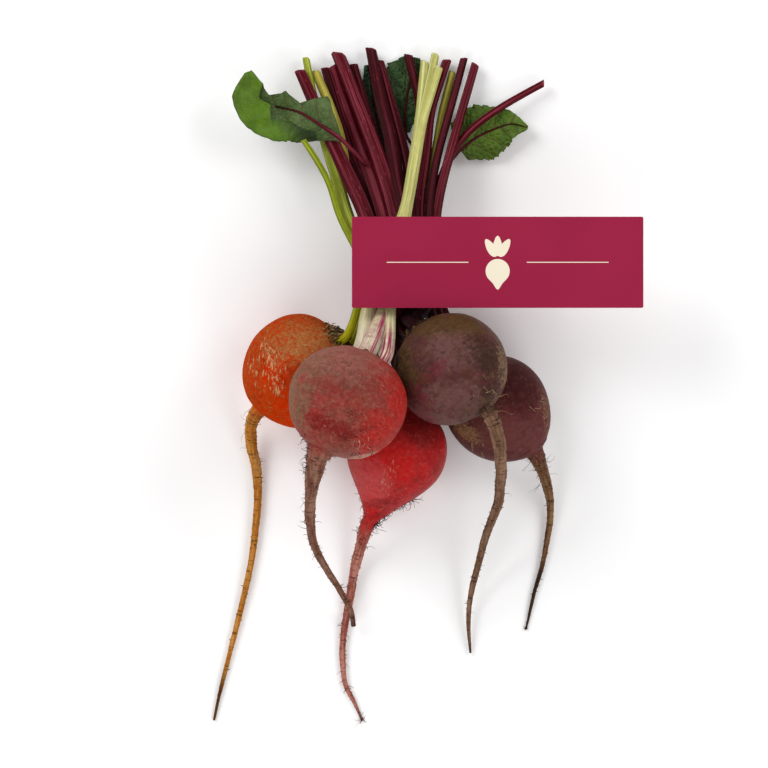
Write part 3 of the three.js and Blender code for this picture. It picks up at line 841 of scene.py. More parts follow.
    def hair(self, growth: Hairs, rng: np.random.Generator) -> Strand:
        """One rootlet, from a random place of its growth.

        Args:
            growth: the growth.
            rng: where its chances come from.

        Returns:
            The rootlet, which wanders and sinks a little on its way.
        """
        d = rng.uniform(growth.start, growth.end)
        angle = math.radians(rng.uniform(*growth.around))
        foot, out, heading = self.surface(d, angle)
        length = growth.length[0] + (growth.length[1] - growth.length[0]) * rng.random() ** 2.2
        way = out * (1 - 0.85 * growth.hug) + heading * (0.35 + growth.hug) * rng.uniform(0.2, 1.0)
        way = unit(way + rng.normal(0, 0.25, 3))
        points = [foot - out * 0.35]
        wander = np.zeros(3)
        for _ in range(4):
            wander = wander * 0.6 + rng.normal(0, growth.curl, 3)
            way = unit(way + wander + np.array([0, 0, -0.08]))
            points.append(points[-1] + way * length / 4)
        points = np.array(points)
        points[:, 2] = np.maximum(points[:, 2], 0.35)
        points += np.arange(5)[:, None] * 1e-3
        route = Route(points, 8)
        share = ring_shares(9)
        radius = growth.radius[0] + (growth.radius[1] - growth.radius[0]) * share**0.7
        radius[[0, -1]] = 0.0
        ends = points[-1] - points[0]
        upright = np.cross(unit(ends), unit(rng.normal(0, 1, 3)))
        return Strand(route, share * route.length, radius, upright=tuple(upright))

    def grow_scars(self) -> None:
        """Fibrous stubs of old leaves round the crown."""
        rng = np.random.default_rng(self.seed + 50)
        strands = []
        for _ in range(self.scars):
            angle = rng.uniform(0, 2 * math.pi)
            d = -self.crown_reach * (1 - self.scar_reach * rng.random() ** 1.3)
            foot, out, heading = self.surface(d, angle)
            if rng.random() < 0.35:
                foot = foot - out * rng.uniform(2, 6) - heading * rng.uniform(1.5, 4)
            way = out * rng.uniform(-0.7, 0.0) - heading * rng.uniform(0.4, 1.0)
            way = unit(way + rng.normal(0, 0.22, 3))
            length = rng.uniform(0.8, 2.6)
            bend = rng.normal(0, 0.25, 3)
            points = [foot - out * 0.5 + way * length * s + bend * length * s * s for s in (0, 0.35, 0.7, 1)]
            share = ring_shares(7)
            radius = rng.uniform(0.22, 0.6) * (1 - 0.7 * share**1.5)
            radius[[0, -1]] = 0.0
            route = Route(points, 8)
            upright = np.cross(way, unit(rng.normal(0, 1, 3)))
            strands.append(Strand(route, share * route.length, radius, 0.4, upright=tuple(upright)))
        piece = sweep(f"crown_scars_{self.name}", strands, SCAR_SIDES)
        tone = rng.uniform(0, 1, len(strands))[piece.known["owner"]]
        tints = np.array([paint(code) for code in self.scar_tints])
        piece.note("tint", tints[(tone * 2.99).astype(int)] * (0.7 + 0.6 * tone)[:, None])
        piece.close([HAIR_FINISH.dress()], f"{self.name}_skin")


@dataclass(frozen=True)
class FibreFinish:
    """Rootlets, hairs and dry fibres, each in its own tint."""

    name: str

    def dress(self) -> bpy.types.Material:
        """Makes the material, once.

        Returns:
            The material, which is the same one each time.
        """
        if self.name in bpy.data.materials:
            return bpy.data.materials[self.name]
        net = Net(self.name)
        fine = net.noise(net.attribute("place", "Vector"), 2.5, 4, 0.6)
        tint = net.attribute("tint", "Color")
        dark = net.mix(1.0, tint, (0.4, 0.4, 0.4, 1), "MULTIPLY")
        colour = net.mix(fine.smooth(0.45, 0.65) * 0.8, tint, dark)
        return net.finish(colour, fine * 0.2 + 0.6, fine * 0.1, Specular_IOR_Level=0.25)


HAIR_FINISH = FibreFinish("root_fibre")

GOLDEN = Beet(
    name="golden",
    centre=(-43.7, 6.2, 29.2),
    radius=29.8,
    depth=1.0,
    crown_reach=27,
    root_reach=29,
    taper=0.52,
    crownwards=(19.8, 15, 6.6),
    tail=[
        (-68.3, -18, 16), (-69.8, -30, 9), (-66.7, -47, 4.2), (-66.8, -68, 3), (-70.2, -95, 2.6),
        (-75.7, -120, 2.2), (-81.5, -143, 1.8), (-86.8, -164, 1.5), (-89.5, -177, 1),
    ],
    radii=[3.4, 2.9, 2.3, 1.9, 1.7, 1.5, 1.35, 1.1, 0.6],
    finish=SkinFinish(
        "golden_skin", "#cc2c00", "#b63a08", "#7a2a06", "#ae6c28", "#3e200c", "#cc9048", "#d08850",
        (
            Layer("rust", "#a4441c", 0.16, 0.6, 0.25, 0.65, soft=0.45),
            Layer("cork", "#a3703c", 0.5, 1.3, 0.0, 0.72, soft=0.3),
            Layer("flame", "#d42000", 0.2, 0.5, 0.05, 0.95, soft=0.45),
            Layer("blood", "#942006", 0.3, 0.9, -0.1, 0.6, soft=0.4),
            Layer("crumb", "#c89868", 0.9, 1.2, -0.45, 0.55, soft=0.3),
            Layer("drip", "#e0a878", 0.95, 1.7, -0.7, 0.72, along=0.3, soft=0.16),
        ),
        dust=0.06,
        gloss=0.42,
        shine=0.0,
    ),
    patches=[
        Patch("rust", -46, 26, 26, 9),
        Patch("rust", -70, 8, 6, 18, -10, 0.8),
        Patch("cork", -38, 19, 17, 13, strength=0.85),
        Patch("cork", -52, 20, 14, 9, strength=0.55),
        Patch("cork", -26, 16, 8, 9),
        Patch("crumb", -42, 18, 16, 12, strength=0.7),
        Patch("drip", -58, 11, 7, 13, 14),
        Patch("drip", -66, 8, 5, 9, 8, 0.85),
        Patch("drip", -56, -2, 6, 6, 20, 0.95),
        Patch("flame", -48, -11, 22, 12),
        Patch("flame", -57, 2, 9, 8, strength=0.7),
        Patch("blood", -45, 5, 9, 6, 10, 0.8),
        Patch("blood", -64, 14, 8, 7, 40, 0.6),
        Patch("blood", -66, -6, 4, 10, 0, 0.5),
    ],
    hairs=[
        Hairs(34, 30, 80, (2, 11), (0.16, 0.05), 0.4, "#a08a6a"),
        Hairs(70, 32, 190, (0.5, 1.8), (0.42, 0.15), 0.3, "#6b4420"),
    ],
    seed=3,
    scars=420,
    scar_reach=0.06,
    flare=(1.0, 6.0),
    tip=0.8,
    scar_tints=("#4a3214", "#a88c5c", "#7c5828"),
)
DUSKY = Beet(
    name="dusky",
    centre=(-18.9, -9.2, 81),
    radius=30.4,
    depth=0.82,
    crown_reach=27,
    root_reach=28.5,
    taper=0.52,
    crownwards=(11.7, 25.5, -15),
    tail=[
        (-33.8, -36.5, 88.5), (-35.4, -44, 84), (-37.2, -55, 72), (-38, -69, 56), (-36.2, -83.4, 41),
        (-30.2, -95.8, 28), (-22.5, -108.9, 16), (-17.3, -119, 10), (-16, -127, 6),
    ],
    radii=[5, 3.7, 3, 2.6, 2.2, 2, 1.7, 1.5, 1.2],
    finish=SkinFinish(
        "dusky_skin", "#942f28", "#7e3a2e", "#4c1612", "#724636", "#2c1812", "#98705c", "#b08070",
        (
            Layer("film", "#966054", 0.12, 0.6, 0.15, 0.7, soft=0.5),
            Layer("earth", "#7a5c42", 0.16, 0.8, 0.0, 0.8, soft=0.45),
            Layer("flush", "#b81c18", 0.12, 0.4, 0.0, 0.9, soft=0.5),
            Layer("bruise", "#7a0d10", 0.25, 0.7, 0.0, 0.85, soft=0.45),
            Layer("rubbed", "#6a4036", 0.5, 0.9, 0.1, 0.45, soft=0.35),
            Layer("scab", "#4a2018", 1.1, 1.4, -0.2, 0.75, soft=0.2),
            # painted rim light: a pale edge on the lower side
            Layer("rim", "#c89684", 0.5, 0.7, -0.1, 0.8, soft=0.35),
        ),
        dust=0.24,
    ),
    patches=[
        Patch("film", -19, 13, 24, 10, strength=0.9),
        Patch("film", -14, -38, 18, 4, strength=0.8),
        Patch("earth", -47, -5, 9, 20, strength=0.95),
        Patch("earth", -38, 10, 11, 7, 40, 0.7),
        Patch("rubbed", -20, 2, 16, 8, strength=0.5),
        Patch("flush", 10, -10, 7, 17),
        Patch("flush", -2, -24, 13, 10, 30, 0.8),
        Patch("flush", 2, 5, 10, 8, -40, 0.55),
        Patch("bruise", -30, -20, 9, 4, -20),
        Patch("bruise", -22, -23, 7, 4, -30),
        Patch("scab", -16, -15, 4, 3.4, strength=0.6),
        Patch("scab", -13, -24, 9, 2.4, 20, 0.6),
        # painted rim light along the lower edge
        Patch("rim", -9, -37, 11, 1.5, 12, 1.2),
        Patch("rim", 4, -31, 7, 1.5, 45),
    ],
    hairs=[
        Hairs(70, 26, 50, (2, 8), (0.2, 0.06), 1.0, "#2e1c18", (50, 140)),
        Hairs(46, 26, 46, (1.5, 5), (0.2, 0.06), 1.0, "#2e1c18", (200, 330)),
        Hairs(24, 14, 24, (2, 6), (0.18, 0.06), 1.0, "#c8988a", (-80, -30), 0.7),
        Hairs(26, 14, 24, (2, 5), (0.2, 0.07), 1.0, "#4a1a14", (-85, -25), 0.7),
        Hairs(130, 32, 150, (0.7, 2.8), (0.34, 0.1), 0.6, "#4c2a20"),
        Hairs(40, 50, 150, (2, 7), (0.2, 0.06), 0.4, "#5a3c34"),
    ],
    seed=7,
    scars=50,
    flare=(2.4, 7.0),
)
SCARLET = Beet(
    name="scarlet",
    centre=(6.5, -34.5, 23.1),
    radius=26.4,
    depth=0.9,
    crown_reach=24,
    root_reach=43,
    taper=1.6,
    crownwards=(14, 38, 0),
    tail=[
        (-3.4, -62.5, 18.6), (-9.6, -76.5, 14), (-12.6, -86, 8.5), (-15.8, -99, 4.4), (-18.4, -115, 2.8),
        (-21.3, -132, 2.2), (-21.8, -146, 1.9), (-20, -159, 1.6), (-15.8, -167, 1.4), (-11.6, -176.8, 0.9),
    ],
    radii=[3.9, 3, 2.5, 2.2, 1.9, 1.7, 1.4, 1.2, 0.5],
    finish=SkinFinish(
        "scarlet_skin", "#b8161a", "#9c1a1a", "#640c0e", "#924e42", "#3a1812", "#c08070", "#cc6a5c",
        (
            Layer("shade", "#7e1212", 0.14, 0.6, 0.1, 0.7, soft=0.5),
            Layer("bright", "#cc1614", 0.16, 0.5, 0.0, 0.8, soft=0.5),
            Layer("film", "#a24a40", 0.4, 0.9, 0.05, 0.5, soft=0.35),
            # painted highlight: a pinkish sheen
            Layer("sheen", "#c64a4c", 0.1, 0.5, 0.0, 0.75, soft=0.5),
            Layer("scratch", "#dc8c76", 1.2, 1.5, -0.42, 0.7, along=0.3, soft=0.15),
            Layer("crease", "#5c0c0e", 0.6, 1.6, -0.3, 0.6, along=4.0, soft=0.15),
        ),
        dashes=0.1,
        gloss=0.4,
    ),
    patches=[
        Patch("bright", 4, -42, 14, 10),
        Patch("bright", -8, -62, 6, 12),
        # painted shadow on the top, under the dusky and violet beets
        Patch("shade", 22, -22, 12, 9),
        Patch("film", -14, -46, 5, 14, 10),
        # painted highlight: the pinkish sheen on the left side
        Patch("sheen", -5, -52, 8, 12, 20),
        Patch("crease", -3, -62, 11, 2.4, 8, 0.9),
        Patch("crease", -7, -70, 8, 3, 8, 0.8),
        Patch("scratch", 2, -48, 4, 9, -20, 0.6),
    ],
    hairs=[
        Hairs(16, 22, 50, (3, 9), (0.16, 0.05), 0.7, "#b07a66"),
        Hairs(44, 34, 62, (2, 7), (0.2, 0.06), 0.9, "#4a241e"),
        Hairs(50, 28, 50, (1.5, 6), (0.2, 0.07), 1.1, "#3a2620", (60, 115)),
        Hairs(80, 20, 42, (2.5, 9), (0.22, 0.08), 1.3, "#3a2620", (255, 292), 0.3),
        Hairs(120, 44, 170, (0.7, 2.8), (0.32, 0.1), 0.6, "#4e241c"),
        Hairs(30, 70, 170, (2, 6), (0.16, 0.05), 0.4, "#7a4a40"),
    ],
    seed=12,
)
VIOLET = Beet(
    name="violet",
    centre=(34.9, 6.7, 60.5),
    radius=29.3,
    depth=0.82,
    crown_reach=28.5,
    root_reach=28,
    taper=0.52,
    crownwards=(-19, 20, -11.5),
    tail=[
        (53.3, -14.5, 73), (56.8, -22, 73), (59.4, -33, 64.5), (60.3, -48.5, 50), (59.1, -62, 38),
        (53.6, -77.6, 26), (49.7, -93, 16), (45.9, -109, 9), (44.4, -125, 4.5), (45.5, -141.5, 1.6),
    ],
    radii=[3.8, 3.5, 3, 2.7, 2.4, 2.1, 1.8, 1.5, 1.2, 0.6],
    finish=SkinFinish(
        "violet_skin", "#552a2c", "#4a2a20", "#26120f", "#6a4c38", "#2a1a12", "#94705a", "#8a6a50",
        (
            Layer("olive", "#55401e", 0.16, 0.7, 0.05, 0.8, soft=0.5),
            # painted highlight: a soft mauve sheen
            Layer("mauve", "#74504c", 0.1, 0.8, 0.0, 0.55, soft=0.5),
            Layer("crimson", "#6c222c", 0.4, 1.0, -0.05, 0.64, soft=0.5),
            Layer("soil", "#2c1e12", 0.35, 1.1, 0.0, 0.66, soft=0.4),
            Layer("tan", "#9a7e58", 0.7, 1.2, -0.5, 0.6, soft=0.35),
        ),
    ),
    patches=[
        Patch("olive", 31, 30, 26, 6),
        # darker left flank: partly olive skin, partly painted shade
        Patch("olive", 8, 14, 6, 16, 20),
        # painted highlights: the mauve sheen in the middle and lower part
        Patch("mauve", 35, 17, 12, 9),
        Patch("mauve", 33, -8, 14, 9),
        Patch("mauve", 28, -18, 12, 4, -25),
        Patch("soil", 51, 15, 9, 7, -40),
        Patch("soil", 55, -10, 7, 8),
        # darker left flank: partly soil, partly painted shade
        Patch("soil", 7, 6, 5, 12),
        # painted rim light along the right edge, in the tan colour
        Patch("tan", 61, 8, 3, 16, 8, 1.1),
        Patch("tan", 14, 22, 10, 6, 30, 0.3),
        Patch("tan", 45, 3, 5, 5, strength=0.35),
        Patch("crimson", 25, 6, 9, 3, 45, 0.95),
        Patch("crimson", 16, -8, 9, 6, -35, 1.0),
        Patch("crimson", 19, -16, 10, 3, -35),
    ],
    hairs=[
        Hairs(34, 22, 34, (2, 8), (0.17, 0.05), 1.1, "#a68c6a", hug=0.6),
        Hairs(20, 18, 27, (2, 6), (0.16, 0.05), 1.1, "#8c7454", (-70, 10), 0.7),
        Hairs(44, 20, 33, (2, 7), (0.2, 0.06), 1.1, "#2a1c14", hug=0.7),
        Hairs(60, 25, 38, (1, 4), (0.22, 0.07), 1.2, "#33241a", hug=0.3),
        Hairs(90, 34, 170, (0.6, 2.2), (0.3, 0.1), 0.6, "#3e2a1c"),
        Hairs(26, 40, 170, (2, 5), (0.16, 0.05), 0.4, "#6a5644"),
    ],
    seed=21,
    scars=240,
    scar_tints=("#24160f", "#38281a", "#2e1e16"),
)
PLUM = Beet(
    name="plum",
    centre=(59.3, -12.6, 21.4),
    radius=26.9,
    depth=0.82,
    crown_reach=25,
    root_reach=30,
    taper=0.6,
    crownwards=(-20, 26, 0),
    tail=[
        (79, -36.5, 18), (82.2, -43, 13.5), (85.8, -54, 8.5), (87.5, -67, 4.6), (86.2, -79.4, 3),
        (83.1, -95.7, 2.2), (78.9, -110.5, 1.6), (74.7, -129, 0.9),
    ],
    radii=[3.4, 2.9, 2.1, 1.7, 1.4, 1.1, 0.9, 0.5],
    finish=SkinFinish(
        "plum_skin", "#5a2022", "#502420", "#2a0d0e", "#66422e", "#1c0e0a", "#8a6a48", "#8c6050",
        (
            Layer("mauve", "#6c3b38", 0.14, 0.6, 0.1, 0.7, soft=0.5),
            Layer("deep", "#3a0c0e", 0.16, 0.5, 0.0, 0.85, soft=0.5),
            Layer("tan", "#9c7650", 0.7, 1.3, -0.5, 0.62, soft=0.4),
        ),
        dashes=0.12,
    ),
    patches=[
        Patch("deep", 70, 0, 11, 12),
        Patch("mauve", 66, -26, 16, 8),
        Patch("tan", 43, -25, 9, 4, -35, 1.5),
        Patch("tan", 84, -14, 2.5, 12, 8, 0.9),
    ],
    hairs=[
        Hairs(34, 27, 50, (3, 12), (0.15, 0.05), 0.5, "#8a7468"),
        Hairs(12, 4, 12, (3, 10), (0.18, 0.06), 0.2, "#c8a888", (300, 420), 0.9),
        Hairs(110, 32, 150, (0.6, 2.2), (0.26, 0.09), 0.6, "#2c1a12"),
    ],
    seed=33,
    flare=(1.5, 6.0),
    tip=0.6,
)
BEETS = {beet.name: beet for beet in (GOLDEN, DUSKY, SCARLET, VIOLET, PLUM)}


# ---- stalks ----


class Tone(Enum):
    """Colours of a stalk: at its cut end, half-way, at its foot, and a pale one for its painted highlights
    on ribs and lines, which also tints its scuffs and cut end.
    """

    WINE = ("#3e040a", "#35040a", "#240408", "#762838")
    CRIMSON = ("#5c0716", "#4a0610", "#2a040a", "#9a4453")
    CREAM = ("#c8c66e", "#d0cc80", "#e8dec0", "#e6e4b2")
    LIME = ("#a2ac34", "#9aa436", "#b0b220", "#c0c860")
    LEAF = ("#8c9a1c", "#84921c", "#b4ac14", "#b8bc48")
    STRAW = ("#b8a840", "#aea83e", "#98a030", "#cec476")
    OLIVE = ("#9c9434", "#928c28", "#7a7420", "#b0a850")
    SCAR = ("#5a4424", "#5a4424", "#4a361c", "#84683c")


@dataclass(frozen=True)
class Stalk:
    """A cut leaf stalk."""

    beet: str
    radii: Triple  # at the cut end, the neck and the crown
    turn: float  # place round the crown, in turns
    slant: float  # of the cut
    tone: Tone
    plan: tuple[Pair, ...]  # from the cut end to the neck, seen from above
    rise: float = 0.0  # how much higher its cut end lies than the others', mm
    highlight_line: float = 0.0  # strength of a painted highlight, a pale line along its top
    flush: float = 0.87  # where along a pale stalk its pink streaks start
    spread: float = 1.42  # how much wider it is at the neck than it is high
    widening: Pair = (-0.25, 0.35)  # where along it that width starts and is reached
    reach: float = 1.0  # how far from the middle of the crown its foot stands, as a share


STALKS = (
    Stalk("plum", (1.6, 1.8, 2.6), 0, 0.5, Tone.CRIMSON,
          ((84, 158), (61, 145), (43, 131), (34, 118), (28, 102), (25.5, 87), (29, 63), (30, 40)),
          highlight_line=0.4, spread=1.1),
    Stalk("plum", (2, 2.2, 2.8), 0.25, 0.3, Tone.CRIMSON,
          ((48, 168), (40.3, 141.5), (33.5, 117), (30.4, 105), (27, 87), (27.5, 63), (27, 40)),
          highlight_line=0.6, spread=1.15),
    Stalk("plum", (1.8, 1.8, 2.4), 0.75, 0.2, Tone.OLIVE,
          ((36, 164), (30, 140), (27, 122), (19, 87), (20, 63), (21, 40)),
          spread=1.15),
    Stalk("plum", (1.8, 1.9, 2.6), 0.5, -0.3, Tone.WINE,
          ((42, 171), (34, 141.5), (27.4, 117), (23, 87), (23.5, 63), (24, 40)),
          highlight_line=0.9, spread=1.15),
    Stalk("scarlet", (1.8, 1.9, 2.6), 0, 0.2, Tone.WINE,
          ((-16, 168), (-7, 136), (1, 111), (8, 87), (11, 63), (10, 40))),
    Stalk("scarlet", (1.9, 2, 2.8), 0.6, 0.2, Tone.WINE,
          ((-31, 166), (-25, 145), (-16, 116), (-4, 92), (1, 63), (-1, 40))),
    Stalk("golden", (2.2, 2.2, 2.2), 0.75, 0.3, Tone.STRAW,
          ((-36, 164), (-26.6, 141), (-22.3, 127), (-20, 113), (-14, 98), (-10, 87), (-8, 63), (-8, 40)),
          spread=1.1),
    Stalk("golden", (1.7, 3.2, 2.4), 0, 0.3, Tone.LIME,
          ((-41, 171), (-36.5, 148), (-29.5, 122), (-24, 105), (-19, 87), (-9, 63), (-10, 40)),
          spread=1.15),
    Stalk("scarlet", (2.4, 3, 3.2), 0.45, 0.3, Tone.CRIMSON,
          ((-44, 164), (-25.8, 124), (-14, 98.7), (-9, 87), (-3, 63), (-3, 40))),
    Stalk("scarlet", (1.9, 2.5, 2.8), 0.2, -0.2, Tone.CRIMSON,
          ((-27, 167), (-19, 142.5), (-11.8, 122), (-5.4, 105), (0, 87), (5, 63), (3, 40)),
          highlight_line=0.7, spread=1.6),
    Stalk("scarlet", (2.9, 3, 3.2), 0.8, 0.7, Tone.CRIMSON,
          ((-24, 173), (-12, 142), (-4, 121), (6, 87), (9, 63), (7, 40)),
          highlight_line=0.3),
    Stalk("violet", (1.8, 1.9, 2.4), 0.2, 0.4, Tone.WINE,
          ((12.8, 173), (15, 162), (18.5, 150), (19, 135), (17, 110), (14, 87), (16, 63), (18, 40))),
    Stalk("violet", (2.1, 2.2, 2.8), 0, -0.3, Tone.CRIMSON,
          ((33, 170), (24, 142), (22, 121), (18, 87), (22, 63), (23.5, 40)),
          highlight_line=0.3, spread=1.3),
    Stalk("violet", (1.7, 1.8, 2.4), 0.4, 0.4, Tone.WINE,
          ((-2, 170), (8, 133), (12, 116), (15.5, 87), (18, 63), (18, 40)),
          highlight_line=0.4),
    Stalk("violet", (2.3, 2.6, 3), 0.6, 0.4, Tone.WINE,
          ((-7, 176), (-1.4, 148), (3.4, 129), (7, 106), (11, 87), (13, 63), (15, 40))),
    Stalk("dusky", (1.9, 2.2, 2.8), 0.05, 0.2, Tone.CREAM,
          ((29, 166), (24.5, 151), (20.6, 138), (17, 116), (11.8, 87), (8, 63), (3, 40)),
          flush=0.8, widening=(0.6, 0.85), reach=1.5),
    Stalk("dusky", (2.1, 2.6, 3.2), 0.3, 0.2, Tone.CREAM,
          ((27, 173), (22.5, 152), (19.5, 138), (16, 116), (10.8, 87), (5, 63), (0.5, 40)),
          flush=0.7, widening=(0.6, 0.85)),
    Stalk("dusky", (2.2, 2.7, 3.4), 0.6, 0.3, Tone.CREAM,
          ((21.5, 169), (20, 152), (18.4, 138), (15.2, 116), (9.8, 87), (-1, 63), (-7.5, 40)),
          flush=0.9, spread=1.5, widening=(0.6, 0.85)),
    Stalk("golden", (1.4, 1.7, 2), 0.25, 0.2, Tone.LEAF,
          ((-42, 127), (-35.3, 117), (-28.7, 105), (-23, 87), (-13, 67), (-9.5, 54), (-13.8, 40)),
          rise=15, spread=1.1),
)


@dataclass
class Pile:
    """The stalks' routes, each laid on those below it."""

    stalks: Sequence[Stalk]
    steps: int = 26
    neck_height: float = 27.0
    fall: Pair = (62.0, 183.0)  # the stalks come down between these two places along Y
    rest: float = 2.6  # how far above the floor their cut ends lie
    slack: float = 0.5  # room between stalks beyond the usual gap
    fork_slack: float = 1.5  # the same for the forked stalk
    forked: str = "dusky"  # the beet whose stalks are branches of one forked stalk
    settling: int = 12  # passes that take the hollows out of a route
    hollow: float = 0.05  # how deep a hollow may stay, mm at each place
    dip: float = 0.8  # how far a route may drop on its last step, mm
    routes: list[Array] = field(default_factory=list)  # rows of x, y, z and radius

    def build(self) -> None:
        """Lays all the stalks, lowest first."""
        for stalk in self.stalks:
            line = Route([(x, y, 0.0) for x, y in stalk.plan])
            share = np.arange(self.steps + 1) / self.steps
            places = line.place(share * line.length)
            radius = stalk.radii[0] + (stalk.radii[1] - stalk.radii[0]) * np.minimum(1, 1.25 * share)
            fall = self.fallen(places[:, 1])
            height = self.neck_height * (1 - fall) + (radius + self.rest) * fall
            route = np.column_stack([places[:, :2], height + stalk.rise * (1 - share) ** 2, radius])
            joined = [stalk.beet == other.beet == self.forked for other in self.stalks]
            slack = self.fork_slack if stalk.beet == self.forked else self.slack
            self.lay(route, [lower for lower, same in zip(self.routes, joined) if not same], slack)
            self.routes.append(route)

    def fallen(self, y: Array) -> Array:
        """How far the stalks have come down at y: 0 before the fall and 1 past it, with no kink."""
        share = np.clip((y - self.fall[0]) / (self.fall[1] - self.fall[0]), 0, 1)
        return share**3 * (share * (share * 6 - 15) + 10)

    def lay(self, route: Array, below: Sequence[Array], slack: float) -> None:
        """Raises a route clear of the stalks that are laid already.

        Args:
            route: its rows, which are changed.
            below: the routes under it.
            slack: room between them beyond the usual gap, mm.
        """
        for place in route:
            own = self.plan_at(route, place[1])
            for lower in below:
                under = self.plan_at(lower, place[1])
                reach = place[3] + under["radius"] + GAP + slack
                across = (own["x"] - under["x"]) / max(own["lean"], under["lean"])
                if under["within"] and abs(across) < reach:
                    place[2] = max(place[2], under["z"] + math.sqrt(reach**2 - across**2))
        for _ in range(self.settling):
            for i in range(1, len(route) - 1):
                route[i, 2] = max(route[i, 2], (route[i - 1, 2] + route[i + 1, 2]) / 2 - self.hollow)
            route[-1, 2] = max(route[-1, 2], route[-2, 2] - self.dip)

    @staticmethod
    def plan_at(route: Array, y: float) -> dict[str, float]:
        """Where a route passes a given y.

        Args:
            route: its rows, from the cut end down to the neck.
            y: the place, mm.

        Returns:
            Its x, z, radius and lean there, and whether it reaches that far.
        """
        i = 1
        while i < len(route) - 1 and route[i, 1] > y:
            i += 1
        a, b = route[i - 1], route[i]
        share = min(max((a[1] - y) / (a[1] - b[1]), 0.0), 1.0)
        x, _, z, radius = a + (b - a) * share
        within = route[-1, 1] - 0.1 <= y <= route[0, 1] + 2
        lean = math.hypot(1, (b[0] - a[0]) / (b[1] - a[1]))
        return {"x": x, "z": z, "radius": radius, "lean": lean, "within": within}


@dataclass(frozen=True)
class StalkFinish:
    """Ribbed skin of stalks, petioles and their cut ends."""

    name: str
    pink: str = "#9a2250"  # streaks at the foot of a pale stalk

    def dress(self) -> bpy.types.Material:
        """Makes the material: fibres, then painted highlight streaks, painted shade on the flanks and
        painted highlights on the ribs, then pink streaks, then scuffs and the cut end.

        Returns:
            The material.
        """
        net = Net(self.name)
        grown, place = net.attribute("grown", "Vector"), net.attribute("place", "Vector")
        tint, ridge = net.attribute("tint", "Color"), net.attribute("pale_and_highlight_tint", "Color")
        deep = net.attribute("deep_tint", "Color")
        flush, cut = net.attribute("flush"), net.attribute("cut")
        fibre = net.drawn_noise(grown, (1.3, 1.3, 0.02), 4, 0.6)
        thread = net.drawn_noise(grown, (1.3, 1.3, 0.02), 3, 0.6)
        mottle = net.noise(place, 0.22, 5, 0.6)
        colour = net.mix(mottle.smooth(0.35, 0.7) * 0.45, tint, deep)
        # darker where the fibre relief is low: partly fibre colour, partly painted shade in the grooves
        colour = net.mix(fibre.smooth(0.5, 0.4) * 0.8, colour, deep)
        # painted highlight: fine pale streaks along the fibres
        colour = net.mix(thread.smooth(0.55, 0.64) * 0.6, colour, ridge)
        # painted shade: each stalk darker on its sides, away from its top
        colour = net.mix(net.attribute("shaded_flank") * 0.85, colour, deep)
        # painted highlight on the raised ribs and in a line along the top of each stalk
        colour = net.mix(net.attribute("ridge") * (0.35 + 0.5 * mottle), colour, ridge)
        colour = net.over(colour, self.pink, flush**2.0 * (mottle.smooth(0.3, 0.7) * 0.5))
        band = net.drawn_noise(grown, (0.5, 0.5, 0.012), 2, 0.5)
        colour = net.over(colour, self.pink, (band * 0.75 + fibre * 0.25).smooth(0.46, 0.6) * flush)
        scuff = net.cells(net.stretch(grown, (1.0, 1.0, 0.22)), 1.0, 0.22, 0.3, 0.2)
        colour = net.mix(scuff * 0.6, colour, ridge)
        end = net.noise(grown, 1.6, 4, 0.6)
        colour = net.mix(cut * 0.9, colour, net.mix(end.smooth(0.4, 0.62), ridge, deep))
        rough = 0.38 + 0.2 * thread + 0.25 * cut
        height = fibre * 0.28 + thread * 0.1 + mottle * 0.15 + end * cut * 0.5
        return net.finish(colour, rough, height, Specular_IOR_Level=0.07)


